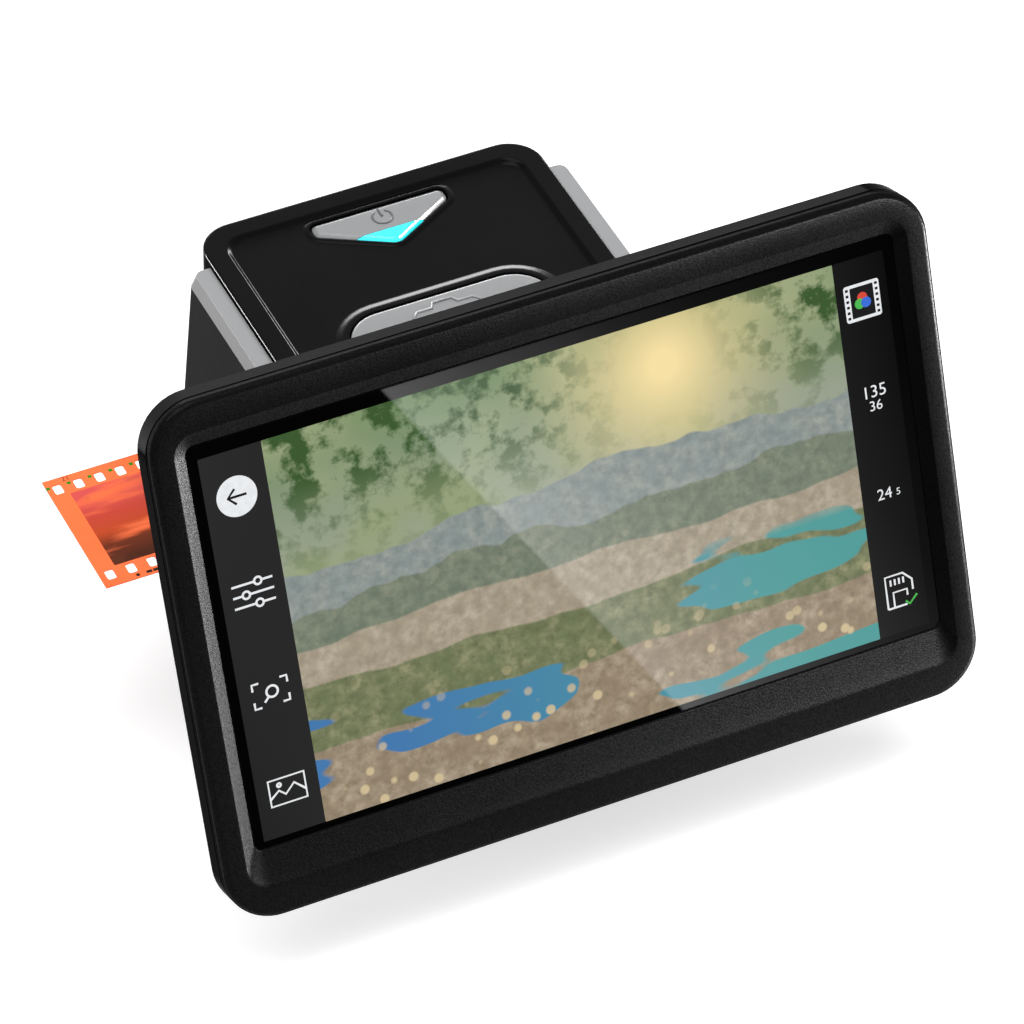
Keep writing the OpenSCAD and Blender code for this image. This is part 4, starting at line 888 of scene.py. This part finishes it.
def make_top_cover(cover, buttons):
    """The top cover: a soft rim, a recessed panel with two button openings, and a rolled front edge."""
    bm = bmesh.new()
    high, edge = COVER_HIGH.z, cover.edge_radius
    front, back, half = COVER_LOW.y, COVER_HIGH.y, COVER_HIGH.x
    panel = high - cover.panel_drop
    under = panel - cover.wall
    radii = (cover.front_corner,) * 2 + (cover.back_corner,) * 2
    behind_roll, recess_front, steps = 1 * MM, 2 * MM, 8

    def around(inset, z):
        return outline(bm, box_points(-half, half, front, back), radii, z, -inset, 12)

    def recess(share):
        inset = cover.rim_width + cover.step_width * share
        points = box_points(-half + inset, half - inset, ROLL_Y + behind_roll + inset / 2, back - inset)
        corner = cover.recess_corner - (inset - cover.rim_width) / 2
        level = high - SLOPE - (cover.panel_drop - SLOPE) * ease(share)
        return outline(bm, points, (recess_front, recess_front, corner, corner), level, 0, 12)

    def round_capture(z, grow):
        return outline(bm, capture_points(buttons), buttons.capture_radius, z, grow, 8)

    def round_power(z, grow):
        return power_outline(bm, buttons, z, grow)

    rings = [around(cover.wall, under), around(cover.wall, ROLL_Z + SLOPE), around(0, ROLL_Z)]
    rings += [around(x, high - edge + y) for x, y in arc(edge, edge, 6)]
    rings += [recess(k / steps) for k in range(steps + 1)]
    inner, outer = loft(bm, rings, "open")
    capture_top, capture_foot = make_collar(bm, cover, buttons.gap, panel, 1.0, 0.35, round_capture)
    power_top, power_foot = make_collar(bm, cover, buttons.gap, panel, 0.5, 0.2, round_power)
    fill_between(bm, outer, capture_top, power_top)
    fill_between(bm, inner, capture_foot, power_foot)
    roll_front(bm, cover, under)
    for x in (-cover.post_side, cover.post_side):
        for y in (cover.post_front, cover.post_back):
            disc(bm, (x, y), cover.post_radius, COVER_LOW.z, under + cover.wall / 2 - COVER_LOW.z)
    piece = piece_from(bm, "cover", "root", "cover_plastic", replaces="top_cover", sharp=40)
    carve(piece, arm_slots())
    even_shading(piece)


def make_collar(bm, cover, gap, panel, share_out, share_in, plan):
    """The raised collar round a button's opening, from the panel up, over its top and down to its foot.

    The first share sets its height and its outer width, the second the width of its top.
    """
    height, steps = cover.collar_height * share_out, 6
    rise = height - steps * SLOPE
    rings = []
    for share in (k / steps for k in range(steps + 1)):
        level = panel + rise * ease(share) + share * steps * SLOPE
        rings.append(plan(level, gap + cover.collar_width * (share_out + (share_in - share_out) * share)))
    for inset, drop in ((0.35 * MM, -SLOPE), (0.1 * MM, 0.02 * MM), (0, 0.15 * MM)):
        rings.append(plan(panel + height - drop, gap + inset))
    rings.append(plan(panel - cover.wall, gap))
    return loft(bm, rings, "open")


def roll_front(bm, cover, under):
    """Bend the cover's front down round the hinge axis; its two sides keep a softer edge."""
    soft_side, shoulder = 4 * MM, COVER_HIGH.z - cover.edge_radius / 2
    for cut in (0.2, 0.5, 1.0, 1.7, 2.5, 3.4, 4.4, 5.5, 6.7, 8.0):
        bisect(bm, COVER_LOW.y + cut * MM)
    for v in bm.verts:
        if v.co.y < ROLL_Y - 1e-7:
            radius = cover.roll_radius - (cover.wall if abs(v.co.z - under) < 1e-6 else 0)
            reach = max(radius ** 2 - (v.co.y - ROLL_Y) ** 2, 0) ** 0.5
            side = max(0, min(1, 1 - (COVER_HIGH.x - abs(v.co.x)) / soft_side))
            v.co.z = min(v.co.z, max(ROLL_Z + reach - side * max(shoulder - v.co.z, 0), ROLL_Z))


def arm_slots():
    """A cutter for the two slots in which the hinge arms turn."""
    inner, outer, gap, behind, over = 18 * MM, 30 * MM, 0.5 * MM, 5.6 * MM, 1 * MM
    bm = bmesh.new()
    for side in (-1, 1):
        x0, x1 = sorted((side * (inner - gap), side * (outer + gap)))
        block(bm, (x0, COVER_LOW.y - over, ROLL_Z - 2 * over), (x1, ROLL_Y + behind, COVER_HIGH.z + over))
    return bm


def make_capture_button(buttons):
    bm = bmesh.new()
    sink, sign_up = 0.1 * MM, 1.6 * MM
    top, foot = COVER_HIGH.z - sink, COVER_HIGH.z - buttons.cap_height
    points, radius = capture_points(buttons), buttons.capture_radius
    middle = buttons.capture_back - buttons.capture_depth / 2
    rings = [(-0.25 * MM, foot), (0, foot + 0.25 * MM)]
    rings += [(-x, top - 0.6 * MM + y) for x, y in arc(0.9 * MM, 0.42 * MM, 8)]
    rings += [(-2.2 * MM, top - 0.1 * MM), (-4.2 * MM, top - 0.04 * MM), (-6.5 * MM, top - 0.01 * MM),
              (-8.0 * MM, top)]
    loft(bm, [outline(bm, points, radius, z, grow, 10) for grow, z in rings])
    button_base(bm, lambda z, grow: outline(bm, points, radius, z, grow, 6), middle, "capture_button")
    piece_from(bm, "capture_cap", "capture_button", "button_plastic", replaces="capture_button", sharp=50)
    wide, tall, cut, window, raised = 7.8, 5.6, 1.4, 2.2, 1.5
    frame_line = [(-wide + cut, -tall), (wide - cut, -tall), (wide, -tall + cut), (wide, tall - cut),
                  (wide - cut, tall), (window + 0.8, tall), (window, tall + raised),
                  (-window, tall + raised), (-window - 0.8, tall), (-wide + cut, tall), (-wide, tall - cut),
                  (-wide, -tall + cut)]
    place = Matrix.Translation((0, middle + sign_up, top))
    strokes("capture_sign", [frame_line, circle_line(0, 0, 2.6, 36)], 0.7, 2 * buttons.relief, place,
            "capture_button", "button_plastic", closed=(0, 1))


def button_base(bm, plan, stem_y, node):
    """The neck, flange and stem of a button, below its cap. Levels count from the cover's top, downwards."""
    low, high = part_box(node)[0].z, COVER_HIGH.z
    neck_top, stem_top, flange_top, flange_foot = 2.1 * MM, 4 * MM, 3.9 * MM, 5.3 * MM
    neck_inset, flange_reach, stem_radius = 1.2 * MM, 1.1 * MM, 2 * MM
    loft(bm, [plan(high - stem_top, -neck_inset), plan(high - neck_top, -neck_inset)])
    loft(bm, [plan(high - flange_foot, flange_reach), plan(high - flange_top, flange_reach)])
    disc(bm, (0, stem_y), stem_radius, low, high - stem_top - low)


def power_cap(buttons, front):
    """The power button's cap, cut along a line: its front part is the light lens."""
    bm = bmesh.new()
    top, foot = COVER_HIGH.z - buttons.power_sink, COVER_HIGH.z - buttons.cap_height
    edge, drop, inset = buttons.power_edge, buttons.power_edge * 0.7, 0.12 * MM
    rings = [(-0.2 * MM, foot), (0, foot + 0.2 * MM), (0, top - drop - 0.03 * MM),
             (-0.05 * MM, top - drop + 0.05 * MM), (-edge * 0.9, top - 0.07 * MM), (-edge, top - 0.02 * MM),
             (-edge - 0.2 * MM, top)]
    loft(bm, [power_outline(bm, buttons, z, grow - inset, 8) for grow, z in rings])
    split = buttons.power_back - buttons.power_depth + buttons.lens_depth
    cut = bisect(bm, split - (0.1 * MM if front else 0), clear_outer=front, clear_inner=not front)
    bmesh.ops.holes_fill(bm, edges=[part for part in cut if isinstance(part, bmesh.types.BMEdge)])
    return bm


def make_power_button(buttons):
    stem_share, sign_back = 0.34, 3.7 * MM
    bm = power_cap(buttons, False)
    button_base(bm, lambda z, grow: power_outline(bm, buttons, z, grow),
                buttons.power_back - buttons.power_depth * stem_share, "power_button")
    piece_from(bm, "power_cap", "power_button", "button_plastic", replaces="power_button", sharp=30)
    bm = power_cap(buttons, True)
    piece_from(bm, "power_light", "power_button", "lens_plastic", replaces="power_lens", sharp=30)
    lines = [arc_line(0, 0, 2.15, -235, 55, 28), [(0, 0.1), (0, 2.5)]]
    place = Matrix.Translation((0, buttons.power_back - sign_back, COVER_HIGH.z - buttons.power_sink))
    # The sign's darker plastic is painted shade for the shaded edges of its raised strokes; the real sign has
    # the cap's own grey.
    strokes("power_sign", lines, 0.6, 2 * buttons.relief, place, "power_button", "sign_plastic")


# ---- Film ----


def make_film_strip(film):
    """The strip: one cell with its two holes, repeated along the film."""
    low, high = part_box("film_strip")
    bm = bmesh.new()
    corners = [bm.verts.new((x, y, low.z)) for x, y in
               box_points(low.x, low.x + film.pitch, low.y, high.y)]
    loops = [list(bm.faces.new(corners).edges)]
    middle, half = low.x + film.pitch / 2, film.hole_length / 2
    for y in (low.y + film.hole_edge, high.y - film.hole_edge - film.hole_width):
        points = box_points(middle - half, middle + half, y, y + film.hole_width)
        loops.append(list(outline(bm, points, film.hole_radius, low.z, 0, 4).edges))
    bmesh.ops.delete(bm, geom=bm.faces[:], context="FACES_ONLY")
    fill_between(bm, *loops)
    cell = [*bm.verts, *bm.edges, *bm.faces]
    for k in range(1, round((high.x - low.x) / film.pitch)):
        copy = bmesh.ops.duplicate(bm, geom=cell)["geom"]
        bmesh.ops.translate(bm, verts=verts_of(copy), vec=(k * film.pitch, 0, 0))
    bmesh.ops.remove_doubles(bm, verts=bm.verts, dist=0.01 * MM)
    thicken(bm, bm.faces[:], high.z - low.z)
    piece_from(bm, "strip", "film_strip", "film", replaces="film_strip", sharp=30)
    make_film_numbers(low, high)


def make_film_numbers(low, high):
    """Plain frame numbers and marks along both edges of the strip."""
    first, step_along, first_number, thickness = 5.0, 19, 21, 0.01 * MM
    mark_foot, mark_top = low.y + 0.55 * MM, low.y + 1.35 * MM
    for k in range(8):
        x = low.x + (first + k * step_along) * MM
        place = Matrix.Translation((x, high.y - 0.95 * MM, high.z + 0.01 * MM))
        label = str(first_number + k // 2) + ("5" if k % 2 else "")
        numbers("edge_number_%d" % k, label, 1.9, thickness, place, "film_strip", "film_ink")
        bm = bmesh.new()
        for step in range(5):
            start = x + (2.2 + step * 1.9 + (step % 2) * 0.4) * MM
            width = (0.8 + 0.5 * ((k + step) % 3)) * MM
            points = box_points(start, start + width, mark_foot, mark_top)
            plate(bm, points, 0.05 * MM, high.z + 0.002 * MM, thickness, segments=1)
        piece_from(bm, "edge_mark_%d" % k, "film_strip", "film_ink")


# ---- Carried-over CAD nodes ----


def soften(node, width):
    """Round the edges of a CAD node with modifiers; its own mesh stays as it is."""
    piece = frame["nodes"][node]
    piece.modifiers.new("Weld", "WELD").merge_threshold = 0.001 * MM
    flat = piece.modifiers.new("Flat faces", "DECIMATE")
    flat.decimate_type, flat.angle_limit = "DISSOLVE", math.radians(0.3)
    bevel = piece.modifiers.new("Soft edges", "BEVEL")
    bevel.width, bevel.segments, bevel.use_clamp_overlap = width, 2, True
    bevel.limit_method, bevel.angle_limit = "ANGLE", math.radians(30)
    even_shading(piece)
    piece.data.polygons.foreach_set("use_smooth", [True] * len(piece.data.polygons))


def paint(node, material):
    piece = frame["nodes"][node]
    piece.data.materials.clear()
    piece.data.materials.append(material)


# ---- Stage ----


def camera_look(stage):
    """The camera's direction of view and its turn in the world."""
    level = math.cos(stage.elevation)
    direction = Vector((math.sin(stage.azimuth) * level, math.cos(stage.azimuth) * level,
                        -math.sin(stage.elevation)))
    turn = direction.to_track_quat("-Z", "Y") @ Euler((0, 0, stage.roll)).to_quaternion()
    return direction, turn


def floor_material():
    """A pale floor: it takes the light and the shadows, and is lifted to white only where it is seen."""
    n = new_material("studio_floor")
    total = n.new("ShaderNodeAddShader")
    diffuse = n.new("ShaderNodeBsdfDiffuse", {"Color": (0.62, 0.62, 0.62)})
    glow = n.new("ShaderNodeEmission", {"Color": (1, 1, 1), "Strength": n.times(n.seen(), 0.62)})
    n.link(diffuse.outputs[0], total.inputs[0])
    n.link(glow.outputs[0], total.inputs[1])
    n.show(total)
    return MATERIALS["studio_floor"]


def make_glare_card(display):
    """A bright card before the display: its mirror image is the soft slanted glare on the glass."""
    place = display_place(display)
    eye = place.inverted() @ bpy.context.scene.camera.location
    away = 120 * MM
    stretch = away / eye.z
    pane_x, pane_top, pane_low = glass_window(display)

    def seen_at(u, v):
        return u + (u - eye.x) * stretch, v + (v - eye.y) * stretch

    bm = bmesh.new()
    (x0, y0), (x1, y1) = seen_at(-pane_x, -pane_low), seen_at(pane_x, pane_top)
    outline(bm, box_points(x0, x1, y0, y1), 1 * MM, away)
    bm.transform(place)
    card = object_from(bm, "glare_card")
    edge_top, edge_foot = seen_at(-36 * MM, 44.6 * MM), seen_at(17.6 * MM, -43.7 * MM)
    card.data.materials.append(glare_material(display, edge_top, edge_foot, 1 + stretch))
    card.visible_camera = card.visible_diffuse = card.visible_shadow = card.visible_transmission = False
    seen_by = bpy.data.collections.new("glass_pieces")
    for piece in bpy.data.objects:
        if piece.get("glass") or piece == frame["nodes"]["touch_glass"]:
            seen_by.objects.link(piece)
    card.light_linking.receiver_collection = seen_by


def glare_material(display, top, foot, scale):
    """Light that starts at a sharp slanted edge and fades away from it."""
    n = new_material("glare_card")
    place = n.separate(display_coords(n, display))
    edge = (Vector(top) - Vector(foot)).normalized()
    away_x = n.times(n.math("SUBTRACT", place["X"], foot[0]), edge.y / scale)
    away_y = n.times(n.math("SUBTRACT", place["Y"], foot[1]), -edge.x / scale)
    fade = n.ramp(n.span(n.math("ADD", away_x, away_y), 0, 100 * MM),
                  [(0, 0.0), (0.006, 0.088), (0.1, 0.061), (0.18, 0.042), (0.27, 0.03), (0.43, 0.013),
                   (0.6, 0.0044), (0.77, 0.0018), (0.9, 0.0006), (1, 0.0)])
    n.show(n.new("ShaderNodeEmission", {"Color": fade, "Strength": 1000.0}))
    return MATERIALS["glare_card"]


def add_light(name, place, aim, width, height, power):
    data = bpy.data.lights.new(name, "AREA")
    data.shape, data.size, data.size_y, data.energy = "RECTANGLE", width, height, power
    light = new_object(name, data)
    light.location = place
    light.rotation_euler = (Vector(aim) - Vector(place)).to_track_quat("-Z", "Y").to_euler()
    return light


# The pieces of each group, and its lamps: name, place, aim, width, height, power and spread.
HIGHLIGHTS = {
    "cover": (("cover",), (
        ("back_strip", (0.45, 1.5, 0.42), (0, 0, 0.09), 0.9, 0.5, 34, 180),
        ("left_strip", (-1.25, 1.05, -0.08), (0, 0, 0.09), 0.5, 0.3, 200, 180),
        ("right_strip", (1.4, 1.0, 0.22), (0, 0, 0.09), 0.6, 0.5, 34, 180),
    )),
    "rails": (("left_trim_rail", "right_trim_rail"), (
        ("rail_strip", (-1.25, 1.05, 0.3), (0, 0, 0.09), 0.5, 0.3, 30, 180),
    )),
    "buttons": (("power_cap", "power_light", "power_sign", "capture_cap", "capture_sign"), (
        ("button_right", (1.14, -0.19, 1.08), (0, 0, 0.09), 0.3, 0.3, 34, 180),
        ("button_back", (0.45, 1.5, 0.5), (0, 0, 0.09), 0.9, 0.3, 16, 180),
    )),
    "bezel": (("bezel",), (
        ("bezel_left", (0.37, -0.22, -0.08), (-0.08, -0.08, 0.08), 0.2, 0.25, 4.2, 60),
        ("bezel_low", (0.56, -1.0, 0.34), (0.03, -0.1, 0.04), 0.2, 0.12, 11, 180),
        ("bezel_back", (0.45, 1.5, 0.3), (0, 0, 0.09), 0.9, 0.3, 3, 180),
    )),
}


def make_highlights():
    """Lamps that are seen only in the gloss, each for its own pieces."""
    for group, (names, lamps) in HIGHLIGHTS.items():
        lit_pieces = bpy.data.collections.new(group + "_highlights")
        for name in names:
            lit_pieces.objects.link(bpy.data.objects[name])
        for *lamp, spread in lamps:
            light = add_light(*lamp)
            light.data.spread = math.radians(spread)
            light.visible_diffuse = light.visible_transmission = light.visible_camera = False
            light.light_linking.receiver_collection = lit_pieces
            light.light_linking.blocker_collection = lit_pieces


class ScannerMakeStage(bpy.types.Operator):
    """Make the floor, the soft studio lights, the white surround and the camera"""

    bl_idname = "scanner.make_stage"
    bl_label = "Stage"

    def execute(self, context):
        stage = context.scene.scanner_stage
        self.make_camera(context.scene, stage)
        self.make_floor(stage)
        self.make_world(context.scene)
        self.make_lights()
        context.scene.view_settings.view_transform = "Standard"
        return {"FINISHED"}

    def make_camera(self, scene, stage):
        direction, turn = camera_look(stage)
        data = bpy.data.cameras.new("camera")
        data.lens, data.sensor_width, data.clip_end = stage.lens, 36, 30
        camera = new_object("camera", data)
        camera.location = Vector(stage.aim) - direction * stage.distance
        camera.rotation_euler = turn.to_euler()
        scene.camera = camera

    def make_floor(self, stage):
        bm = bmesh.new()
        bmesh.ops.create_grid(bm, x_segments=1, y_segments=1, size=stage.floor_size / 2)
        floor = object_from(bm, "floor")
        floor.data.materials.append(floor_material())

    def make_world(self, scene):
        world = bpy.data.worlds.new("studio")
        world.use_nodes = True
        scene.world = world
        n = Nodes(world)
        background = n.made["Background"].inputs
        n.feed(background["Color"], (1, 1, 1))
        n.feed(background["Strength"], n.span(n.seen(), 0, 1, 0.42, 1.0))

    def make_lights(self):
        for name, place, aim, width, height, power in (
            ("key", (0.5, -0.28, 1.35), (0, 0, 0.06), 0.9, 0.9, 15),
            ("top", (-0.35, 0.1, 1.7), (0, 0, 0.06), 1.2, 1.2, 20),
            ("front", (-0.5, -1.5, 1.0), (0, 0, 0.06), 1.0, 0.8, 2),
        ):
            add_light(name, place, aim, width, height, power).visible_glossy = name != "key"


class ScannerMakeFinishes(bpy.types.Operator):
    """Give every carried-over CAD node its material and soft edges"""

    bl_idname = "scanner.make_finishes"
    bl_label = "Finishes"

    def execute(self, context):
        scene = context.scene
        make_materials(scene.scanner_display, scene.scanner_screen, scene.scanner_film)
        for part in frame["record"]["subparts"]:
            paint(part["node"], MATERIALS[part["material_slot"]])
            soften(part["node"], 0.25 * MM)
        return {"FINISHED"}


class ScannerMakeCover(bpy.types.Operator):
    """Make the top cover with its recessed panel and rolled front edge"""

    bl_idname = "scanner.make_cover"
    bl_label = "Top cover"

    def execute(self, context):
        make_top_cover(context.scene.scanner_cover, context.scene.scanner_buttons)
        return {"FINISHED"}


class ScannerMakeButtons(bpy.types.Operator):
    """Make the power button with its light and the capture button, with their raised signs"""

    bl_idname = "scanner.make_buttons"
    bl_label = "Buttons"

    def execute(self, context):
        make_power_button(context.scene.scanner_buttons)
        make_capture_button(context.scene.scanner_buttons)
        return {"FINISHED"}


class ScannerMakeBezel(bpy.types.Operator):
    """Make the display's bezel"""

    bl_idname = "scanner.make_bezel"
    bl_label = "Bezel"

    def execute(self, context):
        make_bezel(context.scene.scanner_display)
        return {"FINISHED"}


class ScannerMakeScreen(bpy.types.Operator):
    """Make the lit picture, the bars and their signs"""

    bl_idname = "scanner.make_screen"
    bl_label = "Screen"

    def execute(self, context):
        make_screen(context.scene.scanner_display, context.scene.scanner_screen)
        return {"FINISHED"}


class ScannerMakeFilm(bpy.types.Operator):
    """Make the film strip with its sprocket holes and edge numbers"""

    bl_idname = "scanner.make_film"
    bl_label = "Film strip"

    def execute(self, context):
        make_film_strip(context.scene.scanner_film)
        return {"FINISHED"}


class ScannerMakeGlare(bpy.types.Operator):
    """Make the card that the display's glass mirrors, and the lamps that put highlights on the plastics"""

    bl_idname = "scanner.make_glare"
    bl_label = "Glare and highlights"

    def execute(self, context):
        make_glare_card(context.scene.scanner_display)
        make_highlights()
        return {"FINISHED"}


GROUPS = {
    "scanner_stage": ScannerStage,
    "scanner_cover": ScannerCover,
    "scanner_buttons": ScannerButtons,
    "scanner_display": ScannerDisplay,
    "scanner_screen": ScannerScreen,
    "scanner_film": ScannerFilm,
}
STEPS = (ScannerMakeStage, ScannerMakeFinishes, ScannerMakeCover, ScannerMakeButtons, ScannerMakeBezel,
         ScannerMakeScreen, ScannerMakeFilm, ScannerMakeGlare)


class ScannerPanel(bpy.types.Panel):
    """The scanner's pieces, in the 3D view's sidebar"""

    bl_idname = "VIEW3D_PT_scanner"
    bl_label = "Film Negative Scanner"
    bl_space_type = "VIEW_3D"
    bl_region_type = "UI"
    bl_category = "Scanner"

    def draw(self, context):
        for step in STEPS:
            self.layout.operator(step.bl_idname)


def register():
    for cls in (*GROUPS.values(), *STEPS, ScannerPanel):
        bpy.utils.register_class(cls)
    for name, group in GROUPS.items():
        setattr(bpy.types.Scene, name, PointerProperty(type=group))


def unregister():
    for name in GROUPS:
        delattr(bpy.types.Scene, name)
    for cls in reversed((*GROUPS.values(), *STEPS, ScannerPanel)):
        bpy.utils.unregister_class(cls)


def main():
    register()
    bpy.ops.scanner.make_stage()
    bpy.ops.scanner.make_finishes()
    bpy.ops.scanner.make_cover()
    bpy.ops.scanner.make_buttons()
    bpy.ops.scanner.make_bezel()
    bpy.ops.scanner.make_screen()
    bpy.ops.scanner.make_film()
    bpy.ops.scanner.make_glare()


if __name__ == "__main__":
    main()
